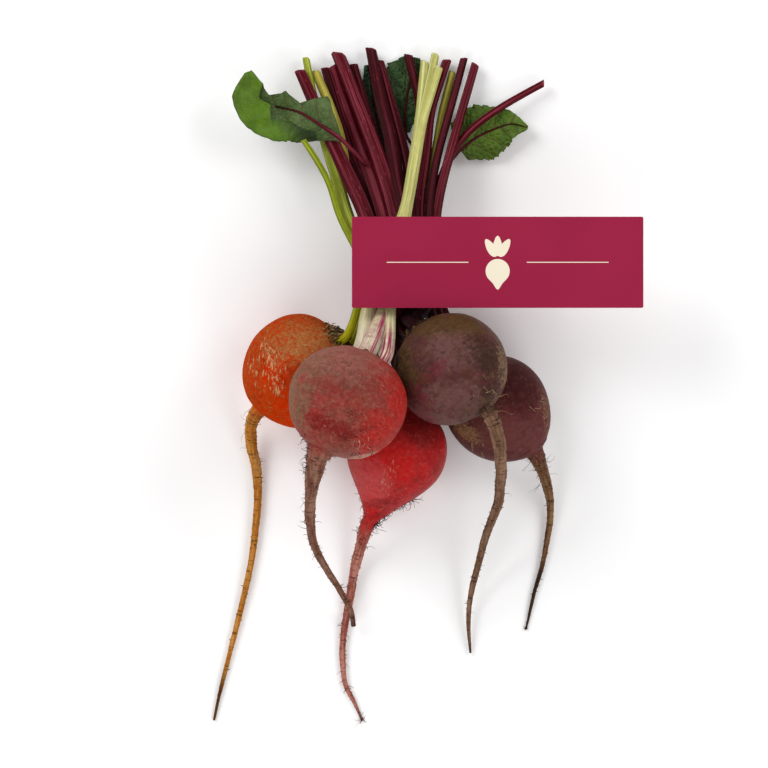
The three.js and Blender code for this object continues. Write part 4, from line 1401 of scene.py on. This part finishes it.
@dataclass
class StalkCluster:
    """All the stalks of one beet, grown together in a disc at its crown."""

    beet: Beet
    pile: Pile
    leaves: list["Leaf"]
    slot: str
    sides: int = 36
    rings: int = 110
    easing: int = 14  # passes that round off a stalk's bends
    leaf_highlight_line: float = 0.3  # strength of the painted highlight line along a petiole
    flatness: float = 0.92  # height of a stalk as a share of its width, where it isn't spread
    foot_growth: float = 1.12  # how much wider its foot gets than its radius at the crown
    cut_radii: tuple[float, ...] = (0.0, 0.55, 0.86, 0.97, 1.0)  # of a cut end's first rings
    cut_places: tuple[float, ...] = (0.5, 0.35, 0.12, 0.0, 0.35)  # where they lie, mm: a shallow dish

    def build(self) -> None:
        """Sweeps the stalks, the petioles and the disc in one piece and paints them."""
        own = [i for i, stalk in enumerate(self.pile.stalks) if stalk.beet == self.beet.name]
        stalks = [self.pile.stalks[i] for i in own]
        petioles = [leaf.rib_strand(self.pile) for leaf in self.leaves]
        strands = [*map(self.stalk, own), *petioles, self.disc()]
        tones = [*(stalk.tone for stalk in stalks), *(leaf.rib_tone for leaf in self.leaves), Tone.SCAR]
        highlight_lines = [*(stalk.highlight_line for stalk in stalks), *(self.leaf_highlight_line for _ in petioles), 0.0]
        flushes = [stalk.flush if stalk.tone is Tone.CREAM else 1.0 for stalk in stalks]
        flushes += [1.0] * (len(strands) - len(own))
        piece = sweep(f"stems_{self.beet.name}", strands, self.sides, self.relief)
        self.tint(piece, tones)
        self.mark(piece, np.array(highlight_lines), np.array(flushes), len(own))
        finish = StalkFinish(f"{self.beet.name}_stalk_skin")
        piece.close([finish.dress()], self.slot, f"stalks_{self.beet.name}")

    def stalk(self, number: int) -> Strand:
        """One stalk from its cut end down into its beet.

        Args:
            number: its place in the pile.

        Returns:
            The stalk, closed at both ends.
        """
        stalk = self.pile.stalks[number]
        route, neck_at = self.eased_route(stalk, self.pile.routes[number][:, :3])
        share = np.concatenate([np.zeros(4), np.linspace(0, 1, self.rings), [1.0]])
        reach = np.where(share < neck_at, share / neck_at, (share - neck_at) / (1 - neck_at))
        cut, neck, crown = stalk.radii
        upper = cut + (neck - cut) * np.minimum(1, reach * 1.25)
        radius = np.where(share < neck_at, upper, neck + (crown * self.foot_growth - neck) * reach)
        dished = len(self.cut_radii)
        radius[:dished] = cut * np.array(self.cut_radii)
        radius[-1] = 0.0
        at = share * route.length
        at[:dished] = self.cut_places
        lean = np.where(np.arange(len(share)) < dished, stalk.slant, 0.0)
        lean[dished : dished + 6] = stalk.slant * np.linspace(0.8, 0, 6)
        wide = 1 + (stalk.spread - 1) * smoothstep(share, *stalk.widening)
        return Strand(route, at, radius * wide, press=self.flatness / wide, lean=lean, untwisted=True)

    def eased_route(self, stalk: Stalk, places: Array) -> tuple[Route, float]:
        """A stalk's way down to its place on the crown, with its bends rounded off.

        Args:
            stalk: the stalk.
            places: its route in the pile.

        Returns:
            The route, and where on it the neck is, as a share.
        """
        axis = self.beet.axis
        side = unit(np.cross(axis, (0.0, 0.0, 1.0)))
        up = np.cross(side, axis)
        turn = stalk.turn * 2 * math.pi
        way = side * math.cos(turn) + up * math.sin(turn)
        out = (CROWN_RADIUS - stalk.radii[2] - 0.6) * stalk.reach
        base = self.beet.on_axis(self.beet.crown_reach + GAP + 1) + way * out
        above = base + axis * (CROWN_HEIGHT + 2)
        route = Route([*places, above, base, base - axis * 3.0], 12)
        eased = route.place(np.linspace(0, route.length, 90))
        for _ in range(self.easing):
            eased[1:-6] = (eased[:-7] + 2 * eased[1:-6] + eased[2:-5]) / 4
        route = Route(eased, 4)
        foot = np.linalg.norm(above - places[-1]) + CROWN_HEIGHT + 5
        return route, 1 - foot / route.length

    def disc(self) -> Strand:
        """The disc at the crown, a little sunk in the beet.

        Returns:
            The disc, as a short strand.
        """
        reach = self.beet.crown_reach
        route = Route([self.beet.on_axis(reach - 1.5), self.beet.on_axis(reach + GAP + CROWN_HEIGHT)])
        share = ring_shares(8)
        radius = CROWN_RADIUS - 3.2 * share**2
        radius[[0, -1]] = 0.0
        return Strand(route, share * route.length, radius)

    @staticmethod
    def ribs(known: Known) -> Array:
        """The ribs along a stalk, as a share of its radius."""
        angle, phase = known["angle"], known["owner"] * 2.4
        return 0.05 * np.cos(5 * angle + phase) + 0.03 * np.cos(9 * angle + 2 * phase)

    def relief(self, known: Known) -> Array:
        """Ribs along a stalk, a channel on its upper side and small wrinkles.

        Args:
            known: what is known of each vertex.

        Returns:
            The share of the radius by which each stands out.
        """
        angle, owner = known["angle"], known["owner"]
        channel = -0.1 * np.exp(-((angle - 0.4 * np.sin(owner * 2.4)) / 0.45) ** 2)
        place = np.column_stack([np.cos(angle), np.sin(angle), known["at"] * 0.06 + owner * 7])
        return self.ribs(known) + channel + 0.05 * grain(place, 0.8)

    def tint(self, piece: Piece, tones: Sequence[Tone]) -> None:
        """Gives each stalk its colours, from its cut end to its foot.

        Args:
            piece: the stalks.
            tones: a tone for each of its strands.
        """
        owner, share = piece.known["owner"], piece.known["share"][:, None]
        table = np.array([[paint(code) for code in tone.value] for tone in tones])[owner]
        low = np.clip((share - 0.72) / 0.2, 0, 1)
        tint = table[:, 0] * (1 - share) + table[:, 1] * share
        tint = tint * (1 - low) + table[:, 2] * low
        piece.note("tint", tint)
        # pale tint for the painted highlights, also used for scuffs and the cut end; at the foot it fades to
        # the foot colour a little lightened
        piece.note("pale_and_highlight_tint", table[:, 3] * (1 - low) + tint * low * np.array([1.15, 1.15, 1.15, 1.0]))
        # a darker copy of each stalk's colours, for its mottling, its fibre grooves, the painted shade on
        # its flanks and its cut end
        depth = np.array([0.66 if tone is Tone.CREAM else 0.5 for tone in tones])[owner, None]
        piece.note("deep_tint", tint * np.where(np.arange(4) < 3, depth, 1.0))

    def mark(self, piece: Piece, highlight_lines: Array, flushes: Array, cuts: int) -> None:
        """Says where each stalk has painted highlights on its ribs and top, pink streaks, painted shade on
        its flanks, and a cut.

        Args:
            piece: the stalks.
            highlight_lines: strength of each strand's painted highlight line along its top.
            flushes: where along it the pink starts, as a share, or 1 for none.
            cuts: how many of the strands have a cut end.
        """
        known, owner = piece.known, piece.known["owner"]
        # painted shade on the sides of each stalk, by the angle round it
        piece.note("shaded_flank", smoothstep(np.abs(np.sin(known["angle"] / 2)), 0.2, 0.6))
        # painted highlight: lighter on the raised ribs and in a line along the top
        ridge = np.clip(self.ribs(known) / 0.08 + 0.2, 0, 1)
        highlight_line = np.exp(-(((known["angle"] - 0.25) / 0.16) ** 2)) * highlight_lines[owner]
        piece.note("ridge", np.clip(0.6 * ridge**3 + highlight_line, 0, 1))
        piece.note("flush", smoothstep(known["share"], flushes[owner], flushes[owner] + 0.12))
        piece.note("cut", smoothstep(known["at"], 0.5, 0.3) * (owner < cuts))


# ---- leaves ----


@dataclass(frozen=True)
class LeafFinish:
    """Blade of a leaf: two faces and its veins."""

    name: str
    upper: str
    upper_pale: str
    under: str
    under_pale: str
    vein: str
    spacing: float = 9.0  # mm between side veins
    side_veins: float = 0.1  # strength of the side veins on the upper face
    midrib: float = 0.1  # strength of the midrib there
    under_veins: float = 0.35  # the same two on the underside
    under_midrib: float = 0.9
    smoothness: float = 0.0  # share by which the upper face is smoother
    shade: str = "#16260c"  # painted shade inside the curl, along the fold and under the hem

    def dress(self) -> bpy.types.Material:
        """Makes the material: two faces, then veins, then the edge and the painted shade of the curl.

        Returns:
            The material.
        """
        net = Net(self.name)
        place, blade = net.attribute("place", "Vector"), net.attribute("blade", "Vector")
        mottle, fine = net.noise(place, 0.12, 5, 0.6), net.noise(place, 1.1, 4, 0.6)
        patchy = mottle.smooth(0.38, 0.66)
        upper = net.mix(patchy, paint(self.upper), paint(self.upper_pale))
        under = net.mix(patchy, paint(self.under), paint(self.under_pale))
        bright = net.attribute("bright")
        colour = net.mix(bright, under, upper)
        along, across = (net.node("ShaderNodeSeparateXYZ", {}, {0: blade}, axis) for axis in (0, 1))
        away = net.math("ABSOLUTE", across)
        side_vein = self._side_veins(net, along, across, away, place)
        edges = {"feature": "DISTANCE_TO_EDGE"}
        lace = net.node("ShaderNodeTexVoronoi", edges, {"Vector": place, "Scale": 0.36})
        colour = net.over(colour, self.under_pale, lace.smooth(0.09, 0.02) * 0.175)
        below, ridge = self.under_veins, self.under_midrib
        colour = net.over(colour, self.vein, side_vein * (below - bright * (below - self.side_veins)))
        midrib = (away + along * 0.02).smooth(1.4, 0.5)
        colour = net.over(colour, self.vein, midrib * (ridge - bright * (ridge - self.midrib)))
        colour = net.over(colour, self.upper, fine.smooth(0.5, 0.75) * 0.18)
        dark_rim = net.mix(0.5, paint(self.upper), (0, 0, 0, 1))
        colour = net.mix(net.attribute("rim") * 0.6, colour, dark_rim)
        # painted shade of the curl: along the fold, under the hem and on the far side of the rolled face
        colour = net.over(colour, self.shade, net.attribute("dark") * 0.9)
        puckers = lace.smooth(0.0, 0.35) * 0.5 + side_vein * 0.4 + mottle * 0.4
        height = puckers * (1 - bright * self.smoothness) + fine * 0.1
        return net.finish(colour, 0.42 + 0.2 * fine, height, Specular_IOR_Level=0.25)

    def _side_veins(self, net: Net, along: Wire, across: Wire, away: Wire, place: Wire) -> Wire:
        """The veins that leave the midrib on both sides.

        Args:
            net: the material.
            along: mm along the midrib.
            across: mm to the left of it.
            away: mm away from it on either side.
            place: coordinates on the part.

        Returns:
            1 in the veins and 0 between them, fading towards the edge.
        """
        wobble = (net.noise(place, 0.16, 3, 0.5) - 0.5) * 0.7
        turn = along / self.spacing - away * (VEIN_SLOPE / self.spacing) + wobble
        turn = turn + net.math("SIGN", across) * VEIN_OFFSET
        near = net.math("ABSOLUTE", net.math("FRACT", turn) - 0.5) * self.spacing
        return near.smooth(0.55, 0.15) * (1 - away.smooth(4.0, 15.0) * 0.7)


@dataclass
class Leaf:
    """A small leaf: a veined, toothed blade on a petiole that grows from a stalk."""

    name: str
    stalk: int  # the stalk that it grows from, by its place in STALKS
    start: float  # where on it, along Y
    petiole: list[Triple]
    midrib: list[Triple]
    left: list[float]  # half widths of the blade, evenly spaced from base to tip
    right: list[float]
    lift_left: list[float]  # how far its edge stands above the midrib
    lift_right: list[float]
    ruffle: float  # height of the waves at its edge
    teeth: float  # their size, as a share of the half width
    rib: float  # radius of the petiole
    rib_tone: Tone
    finish: LeafFinish
    curl: Optional[Callable[[Array], tuple[Array, Array]]] = None  # which parts of it have rolled over
    seed: float = 0.0
    node: str = ""  # the leaf that this one is drawn with, if it isn't its own
    rib_points: int = 99  # points of the midrib that the rib itself follows
    along: int = 130  # cells of the blade's grid
    across: int = 78
    half: float = 0.2  # half the blade's thickness

    def rib_strand(self, pile: Pile) -> Strand:
        """Petiole and midrib, out of the stalk and along the blade.

        Args:
            pile: the stalks.

        Returns:
            The rib, closed at both ends.
        """
        start = Pile.plan_at(pile.routes[self.stalk], self.start)
        on_blade = []
        for i, (x, y, z) in enumerate(self.midrib[: self.rib_points]):
            slimmer = 1 - 0.85 * i / len(self.midrib)
            on_blade.append((x, y, z + self.half + 0.45 * self.rib * slimmer))
        route = Route([(start["x"], self.start, start["z"]), *self.petiole, *on_blade], 16)
        share = ring_shares(90)
        radius = self.rib * (1 - 0.82 * share) * smoothstep(share, -0.03, 0.12)
        radius[[0, -1]] = 0.0
        return Strand(route, share * route.length, radius)

    def width(self, u: Array, v: Array) -> Array:
        """Half width of the blade with its teeth.

        Args:
            u: places from base to tip, 0 to 1.
            v: places from the right edge to the left, -1 to 1.

        Returns:
            The half width for each, in mm.
        """
        width = np.where(v > 0, stations(self.left, u), stations(self.right, u))
        coarse, fine = np.sin(2 * math.pi * 9.5 * u), np.sin(2 * math.pi * 21 * u + v)
        return width * (1 + v**2 * self.teeth * (coarse + 0.5 * fine))

    def blade_point(self, route: Route, u: Array, v: Array) -> Array:
        """Places on the middle of the blade.

        Args:
            route: the midrib.
            u: places from base to tip, 0 to 1.
            v: places from the right edge to the left, -1 to 1.

        Returns:
            A place in the layout for each.
        """
        at = np.clip(u, 0, 1) * route.length
        side = unit(np.cross(route.heading(at), (0.0, 0.0, 1.0)))
        edge = np.abs(v)
        point = route.place(at) - side * (v * self.width(u, v))[:, None]
        lift = np.where(v > 0, stations(self.lift_left, u), stations(self.lift_right, u))
        ends = np.sin(math.pi * np.minimum(1, u * 1.05 + 0.02))
        wave = self.ruffle * ends * edge**2 * np.sin(2 * math.pi * 3 * u + np.sign(v))
        fine_wave = 0.35 * self.ruffle * ends * edge**3 * np.sin(2 * math.pi * 11 * u + 2 * v)
        point[:, 2] += lift * edge**1.6 + wave + fine_wave
        return point

    def faces_out(self, route: Route, u: Array, v: Array, step: float = 0.004) -> Array:
        """The way out of the upper face.

        Args:
            route: the midrib.
            u: places from base to tip, 0 to 1.
            v: places from the right edge to the left, -1 to 1.
            step: how far apart the places are that it is worked out from.

        Returns:
            A unit direction for each.
        """
        ahead, behind = np.minimum(u + step, 1), np.maximum(u - step, 0)
        along = self.blade_point(route, ahead, v) - self.blade_point(route, behind, v)
        across = self.blade_point(route, u, v + step) - self.blade_point(route, u, v - step)
        return unit(np.cross(along, across))

    def pucker(self, at: Array, reach: Array, v: Array) -> Array:
        """How far the blade bulges between its side veins.

        Args:
            at: mm along the midrib.
            reach: mm to the left of it.
            v: places from the right edge to the left, -1 to 1.

        Returns:
            A height for each, in mm.
        """
        spacing, edge = self.finish.spacing, np.abs(v)
        turn = at / spacing - np.abs(reach) * VEIN_SLOPE / spacing + np.sign(v) * VEIN_OFFSET
        near = np.abs(np.mod(turn, 1) - 0.5) * spacing
        return 0.45 * smoothstep(near, 0.2, 2.6) * smoothstep(edge, 0.0, 0.2) * smoothstep(edge, 1.0, 0.8)

    def build(self) -> None:
        """Makes the blade from a grid with a second face under it."""
        shape = bmesh.new()
        bmesh.ops.create_grid(shape, x_segments=self.along, y_segments=self.across, size=1.0)
        bmesh.ops.solidify(shape, geom=shape.faces[:], thickness=1.0)
        bmesh.ops.recalc_face_normals(shape, faces=shape.faces[:])
        piece = new_piece(f"blade_{self.name}", shape)
        u, v, z = (piece.point[:, 0] + 1) / 2, piece.point[:, 1], piece.point[:, 2]
        upper = np.where(z > (z.max() + z.min()) / 2, 1.0, -1.0)
        route = Route(self.midrib, 24)
        point = self.blade_point(route, u, v)
        reach = v * self.width(u, v)
        height = self.pucker(u * route.length, reach, v) + 0.35 * grain(point, 7.0, self.seed)
        height += upper * self.half * (1 - 0.5 * np.abs(v) ** 8)
        point += self.faces_out(route, u, v) * height[:, None]
        piece.set_points(point)
        piece.note("blade", np.column_stack([u * route.length, reach, upper]))
        # dark is the painted shade of the curl
        bright, dark = self.curl(point) if self.curl else (np.ones(len(u)), np.zeros(len(u)))
        piece.note("bright", np.where(upper > 0, bright, 1 - bright))
        piece.note("dark", dark)
        piece.note("rim", smoothstep(np.abs(v), 0.93, 1.0))
        piece.close([self.finish.dress()], "leaf", f"leaf_{self.node or self.name}")


def curled_tip(point: Array) -> tuple[Array, Array]:
    """How the left leaf has rolled over.

    Args:
        point: places on the blade, mm.

    Returns:
        1 where its smooth upper face shows, and how much painted shade lies on each place: shadows along the
        fold and under the hem, and shade deepening away from the tip.
    """
    x, y = point[:, 0] + 0.8 * grain(point, 5.0), point[:, 1] + 1.2 * grain(point, 8.0)
    fold = np.interp(y, (137, 146, 149, 153, 160), (-59, -59.5, -65, -64.5, -63))
    hem = np.interp(x, (-60, -48.5, -43, -35.6, -33.7, -30), (138, 137, 134, 131.5, 121.6, 117))
    face = np.maximum(smoothstep(fold - x, -0.35, 0.35), smoothstep(hem - y, -0.7, 0.7))
    # painted shadows along the fold and under the hem, and painted shade deepening rightward on the rolled
    # face
    crease = np.exp(-np.clip(x - fold, 0, None) / 2.2) * smoothstep(y, 134, 139) * (x > fold)
    under_hem = np.exp(-np.clip(hem - y, 0, None) / 3.0) * (y < hem) * smoothstep(x, -60, -52)
    away = smoothstep(x, -59, -38) * face
    return face, np.clip(0.75 * crease + 0.5 * under_hem + 0.95 * away, 0, 1)


LEAVES = (
    Leaf(
        name="left",
        stalk=9,
        start=112.5,
        petiole=[(-12.6, 118, 27.5), (-17.6, 122.6, 31)],
        midrib=[
            (-22, 127, 30.5), (-32, 134, 29), (-44, 141.5, 25), (-57, 145, 19), (-66, 151, 18),
            (-71, 163, 22),
        ],
        left=[1, 6.5, 14.5, 16.5, 17.5, 17, 12, 2],
        right=[0.5, 7.5, 15, 4.5, 9.5, 4, 5.5, 2],
        lift_left=[-3, -5, -4, -1, 5, 9, 7, 0],
        lift_right=[-1, -1, 0, 1, 3, 5, 4, 0],
        ruffle=1.1,
        teeth=0.012,
        rib=1.5,
        rib_tone=Tone.CRIMSON,
        finish=LeafFinish(
            "left_leaf_blade", "#4c6c0c", "#5c7e18", "#3c5020", "#566a3a", "#6a2433", smoothness=0.75
        ),
        curl=curled_tip,
        seed=1.0,
        rib_points=4,
    ),
    Leaf(
        name="right",
        stalk=0,
        start=113,
        petiole=[(37, 119, 12.6)],
        midrib=[(40, 122.5, 9.6), (48, 129, 7.6), (57, 133.5, 6.6), (67, 136.5, 6.6), (75.5, 134.5, 7.5)],
        left=[6, 14, 16, 16, 13, 9, 4, 1],
        right=[6, 11, 14, 14, 12, 10, 7, 1],
        lift_left=[-1, -2, -3.5, -3.5, -3, -1, 0, 0],
        lift_right=[-2, -3, -3, -2, 0, 1, 1, 0],
        ruffle=0.8,
        teeth=0.03,
        rib=0.9,
        rib_tone=Tone.WINE,
        finish=LeafFinish(
            "right_leaf_blade", "#45600f", "#587418", "#4d6a34", "#6f8550", "#5e2230",
            side_veins=0.4, midrib=0.7,
        ),
        seed=2.0,
    ),
    Leaf(
        name="centre",
        stalk=11,
        start=121,
        petiole=[(13, 128, 8)],
        midrib=[(11.5, 132, 3.2), (11, 141, 1.7), (12, 151, 0.9), (14, 161, 0.8), (16, 172, 1.3)],
        left=[2, 7, 11, 14, 15.5, 15, 13, 5],
        right=[2, 5, 6, 6, 6, 5, 5, 3],
        lift_left=[0] * 8,
        lift_right=[0] * 8,
        ruffle=0.3,
        teeth=0.05,
        rib=1,
        rib_tone=Tone.WINE,
        finish=LeafFinish(
            "centre_leaf_blade", "#26401c", "#3a5628", "#3d5230", "#5a6e48", "#4c2a2c",
            side_veins=0.3, midrib=0.6,
        ),
        seed=3.0,
    ),
    Leaf(
        name="back",
        stalk=4,
        start=108,
        petiole=[(1, 111, 8)],
        midrib=[
            (1, 114, 3.4), (-1, 126, 2), (-3.5, 138, 1.4), (-5.5, 149, 1.1), (-7, 159, 1), (-8.5, 168, 1.2),
        ],
        left=[2, 3.5, 4.5, 5.5, 5.5, 5, 4, 2],
        right=[8, 8.5, 6.5, 5.5, 5.5, 5, 4, 2],
        lift_left=[0] * 8,
        lift_right=[0] * 8,
        ruffle=0.3,
        teeth=0.03,
        rib=0.8,
        rib_tone=Tone.WINE,
        finish=LeafFinish("back_leaf_blade", "#1c3420", "#2a4628", "#3d5230", "#5a6e48", "#33301c"),
        seed=5.0,
        node="centre",
    ),
)


# ---- label ----


@dataclass(frozen=True)
class CardFinish:
    """Smooth printed card."""

    name: str
    colour: str
    worn: str

    def dress(self) -> bpy.types.Material:
        """Makes the material.

        Returns:
            The material.
        """
        net = Net(self.name)
        place = net.attribute("place", "Vector")
        fine, sheet = net.noise(place, 2.2, 4, 0.6), net.noise(place, 0.03, 3, 0.5)
        colour = net.mix(sheet.smooth(0.35, 0.65) * 0.2, paint(self.colour), paint(self.worn))
        colour = net.over(colour, self.worn, fine.smooth(0.55, 0.8) * 0.12)
        return net.finish(colour, 0.42 + 0.12 * fine, fine * 0.02 + sheet * 0.3, Specular_IOR_Level=0.15)


def fit(shape: bmesh.types.BMesh, verts: Sequence, size: Triple, middle: Triple) -> None:
    """Stretches vertices about the origin, then moves them.

    Args:
        shape: the bmesh that they are in.
        verts: the vertices.
        size: how much to stretch them along each axis.
        middle: where the origin goes.
    """
    bmesh.ops.scale(shape, vec=size, verts=verts)
    bmesh.ops.translate(shape, vec=middle, verts=verts)


def reach(edge: bmesh.types.BMEdge, axis: int) -> float:
    """How far an edge runs along one axis."""
    return abs((edge.verts[0].co - edge.verts[1].co)[axis])


@dataclass
class Label:
    """The card label, its printed motif and the strap that ties the stalks, all in mm."""

    left: float = -16.5
    right: float = 133.3
    bottom: float = 39.1
    top: float = 86.0
    height: float = 58.0  # of its underside above the floor
    thick: float = 0.8
    rounding: float = 0.9  # at its four corners
    edge: float = 0.12  # ease of its rims
    strap_x: Pair = (-16, 34)
    strap_y: Pair = (47, 60)
    strap_bottom: float = 22.6
    wall: float = 0.8  # the strap's thickness
    corner: float = 7.0  # how far its folds are rounded
    line: float = 0.45  # width of the printed rules
    rule: float = 42.0  # their length
    rule_middle: float = 36.0  # how far their middles are from the card's
    root: float = 6.2  # radius of the printed beet
    fan: Triple = (-0.55, 0.0, 0.55)  # how its three leaves turn, in radians

    @property
    def middle(self) -> Pair:
        """The middle of the card."""
        return (self.left + self.right) / 2, (self.bottom + self.top) / 2

    def build(self) -> None:
        """Builds the card, the strap and the printed motif."""
        shape = bmesh.new()
        self.card(shape)
        bmesh.ops.recalc_face_normals(shape, faces=shape.faces[:])
        piece = new_piece("label_card", shape)
        piece.set_points(piece.point)
        card = CardFinish("burgundy_card", "#961b3e", "#a02446").dress()
        ink = CardFinish("cream_ink", "#f1e6cf", "#e6d6b8").dress()
        core = CardFinish("card_core", "#e9dcd2", "#d8c8bc").dress()
        piece.close([card, core], "card", "label", smooth=False)
        self.strap(card)
        self.motif(ink)

    def card(self, shape: bmesh.types.BMesh) -> None:
        """A thin card with eased edges, whose cut sides have the second finish.

        Args:
            shape: the bmesh to make it in.
        """
        made = bmesh.ops.create_cube(shape, size=1.0)["verts"]
        size = (self.right - self.left, self.top - self.bottom, self.thick)
        fit(shape, made, size, (*self.middle, self.height + self.thick / 2))
        corners = [edge for edge in shape.edges if reach(edge, 2) > 0.5 * self.thick]
        bmesh.ops.bevel(shape, geom=corners, offset=self.rounding, segments=5, **EASED)
        rims = [edge for edge in shape.edges if reach(edge, 2) < 0.01]
        bmesh.ops.bevel(shape, geom=rims, offset=self.edge, segments=2, **EASED)
        for face in shape.faces:
            face.material_index = 1 if abs(face.normal.z) < 0.3 else 0

    def strap(self, card: bpy.types.Material) -> None:
        """The strap: a flat band bent round the neck of the bunch.

        Args:
            card: its finish.
        """
        (left, right), (start, end) = self.strap_x, self.strap_y
        bottom, top = self.strap_bottom, self.height + self.thick / 2
        shape = bmesh.new()
        made = bmesh.ops.create_cube(shape, size=1.0)["verts"]
        middle = ((left + right) / 2, (start + end) / 2, (top + bottom) / 2)
        fit(shape, made, (right - left, end - start, top - bottom), middle)
        shape.normal_update()
        ends = [face for face in shape.faces if abs(face.normal.y) > 0.9]
        bmesh.ops.delete(shape, geom=ends, context="FACES_ONLY")
        folds = [edge for edge in shape.edges if reach(edge, 1) > 1]
        bmesh.ops.bevel(shape, geom=folds, offset=self.corner, segments=10, **EASED)
        bmesh.ops.recalc_face_normals(shape, faces=shape.faces[:])
        bmesh.ops.solidify(shape, geom=shape.faces[:], thickness=self.wall)
        bmesh.ops.recalc_face_normals(shape, faces=shape.faces[:])
        piece = new_piece("label_strap", shape)
        piece.set_points(piece.point)
        piece.close([card], "card", "label", smooth=False)

    def motif(self, ink: bpy.types.Material) -> None:
        """A plain beet between two rules, just above the card.

        Args:
            ink: its finish.
        """
        shape = bmesh.new()
        x, y = self.middle
        top = self.height + self.thick + 0.03
        disc = bmesh.ops.create_circle(shape, cap_ends=True, segments=48, radius=self.root)["verts"]
        for vert in disc:
            if vert.co.y < 0:
                vert.co.y *= 1.0 + 0.55 * math.exp(-((vert.co.x / 2.0) ** 2))
        bmesh.ops.translate(shape, vec=(x, y - 4.5, top), verts=disc)
        for turn in self.fan:
            blade = bmesh.ops.create_circle(shape, cap_ends=True, segments=32, radius=1.0)["verts"]
            for vert in blade:
                vert.co = (vert.co.x * 2.3 * (1 - 0.25 * vert.co.y), vert.co.y * 5.2 + 6.6, 0)
            bmesh.ops.rotate(shape, cent=(0, 0, 0), matrix=Matrix.Rotation(turn, 3, "Z"), verts=blade)
            bmesh.ops.translate(shape, vec=(x, y + 1.8, top + 0.002 * (turn + 1)), verts=blade)
        for way in (-1, 1):
            rule = bmesh.ops.create_grid(shape, x_segments=1, y_segments=1, size=0.5)["verts"]
            fit(shape, rule, (self.rule, self.line, 1), (x + way * self.rule_middle, y, top))
        bmesh.ops.recalc_face_normals(shape, faces=shape.faces[:])
        for face in shape.faces:
            if face.normal.z < 0:
                face.normal_flip()
        piece = new_piece("label_motif", shape)
        piece.set_points(piece.point)
        piece.close([ink], "card")


# ---- studio ----


@dataclass
class Studio:
    """Floor, soft light and the camera above the bunch, all in metres."""

    camera_height: float = 2.43
    lens: float = 216.3  # mm
    floor_size: float = 6.0
    sky: float = 0.36  # strength of the light from all round
    lamp_size: float = 0.9
    lamps: tuple[tuple[str, Triple, float], ...] = (  # name, place, power in watts
        ("key", (-1.1, 1.0, 1.15), 17.0),
        ("right", (1.2, 0.6, 1.1), 9.5),
        ("near_right", (0.9, -1.2, 1.1), 8.5),
        ("near_left", (-1.0, -1.1, 1.1), 7.0),
    )

    def build(self) -> None:
        """Sets everything that isn't the object."""
        self.floor()
        world = bpy.data.worlds.new("soft_sky")
        world.use_nodes = True
        sky = world.node_tree.nodes["Background"]
        sky.inputs["Color"].default_value = (1.0, 1.0, 1.0, 1.0)
        sky.inputs["Strength"].default_value = self.sky
        bpy.context.scene.world = world
        for name, place, power in self.lamps:
            self.lamp(name, place, power)
        camera = bpy.data.cameras.new("camera")
        camera.lens, camera.sensor_width = self.lens, 36.0
        camera.clip_end = 20.0
        holder = bpy.data.objects.new("camera", camera)
        holder.location = (SHIFT[0] / 1000, SHIFT[1] / 1000, self.camera_height)
        bpy.context.scene.collection.objects.link(holder)
        bpy.context.scene.camera = holder
        bpy.context.scene.view_settings.view_transform = "Standard"

    def floor(self) -> None:
        """A plain pale floor."""
        shape = bmesh.new()
        bmesh.ops.create_grid(shape, x_segments=2, y_segments=2, size=self.floor_size / 2)
        data = bpy.data.meshes.new("floor")
        shape.to_mesh(data)
        shape.free()
        obj = bpy.data.objects.new("floor", data)
        net = Net("pale_floor")
        place = net.node("ShaderNodeTexCoord", {}, {}, "Object")
        faint = net.noise(place, 3.0, 3, 0.5)
        colour = net.mix(faint, (0.93, 0.93, 0.93, 1), (0.95, 0.95, 0.95, 1))
        glow = {"Specular_IOR_Level": 0.1, "Emission_Color": (1, 1, 1, 1), "Emission_Strength": 0.1}
        data.materials.append(net.finish(colour, 0.75 + 0.1 * faint, faint * 0.05, **glow))
        bpy.context.scene.collection.objects.link(obj)

    def lamp(self, name: str, place: Triple, power: float) -> None:
        """A square soft light that faces the bunch.

        Args:
            name: the light's name.
            place: where it hangs.
            power: in watts.
        """
        light = bpy.data.lights.new(name, "AREA")
        light.size, light.energy = self.lamp_size, power
        obj = bpy.data.objects.new(name, light)
        obj.location = place
        obj.rotation_euler = (-Vector(place)).to_track_quat("-Z", "Y").to_euler()
        bpy.context.scene.collection.objects.link(obj)


SLOTS = {  # the slot of each beet's stalks
    "golden": "green_stalk", "dusky": "cream_stalk", "scarlet": "wine_stalk", "violet": "wine_stalk",
    "plum": "wine_stalk",
}


def main() -> None:
    """Builds the bunch, piece by piece, and the studio round it."""
    logging.basicConfig(level=logging.INFO, format="%(name)s %(message)s", stream=sys.stdout)
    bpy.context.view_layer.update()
    Studio().build()
    pile = Pile(STALKS)
    pile.build()
    for beet in BEETS.values():
        beet.build()
        leaves = [leaf for leaf in LEAVES if STALKS[leaf.stalk].beet == beet.name]
        StalkCluster(beet, pile, leaves, SLOTS[beet.name]).build()
    for leaf in LEAVES:
        leaf.build()
    Label().build()
    bpy.context.view_layer.update()


if __name__ == "__main__":
    main()
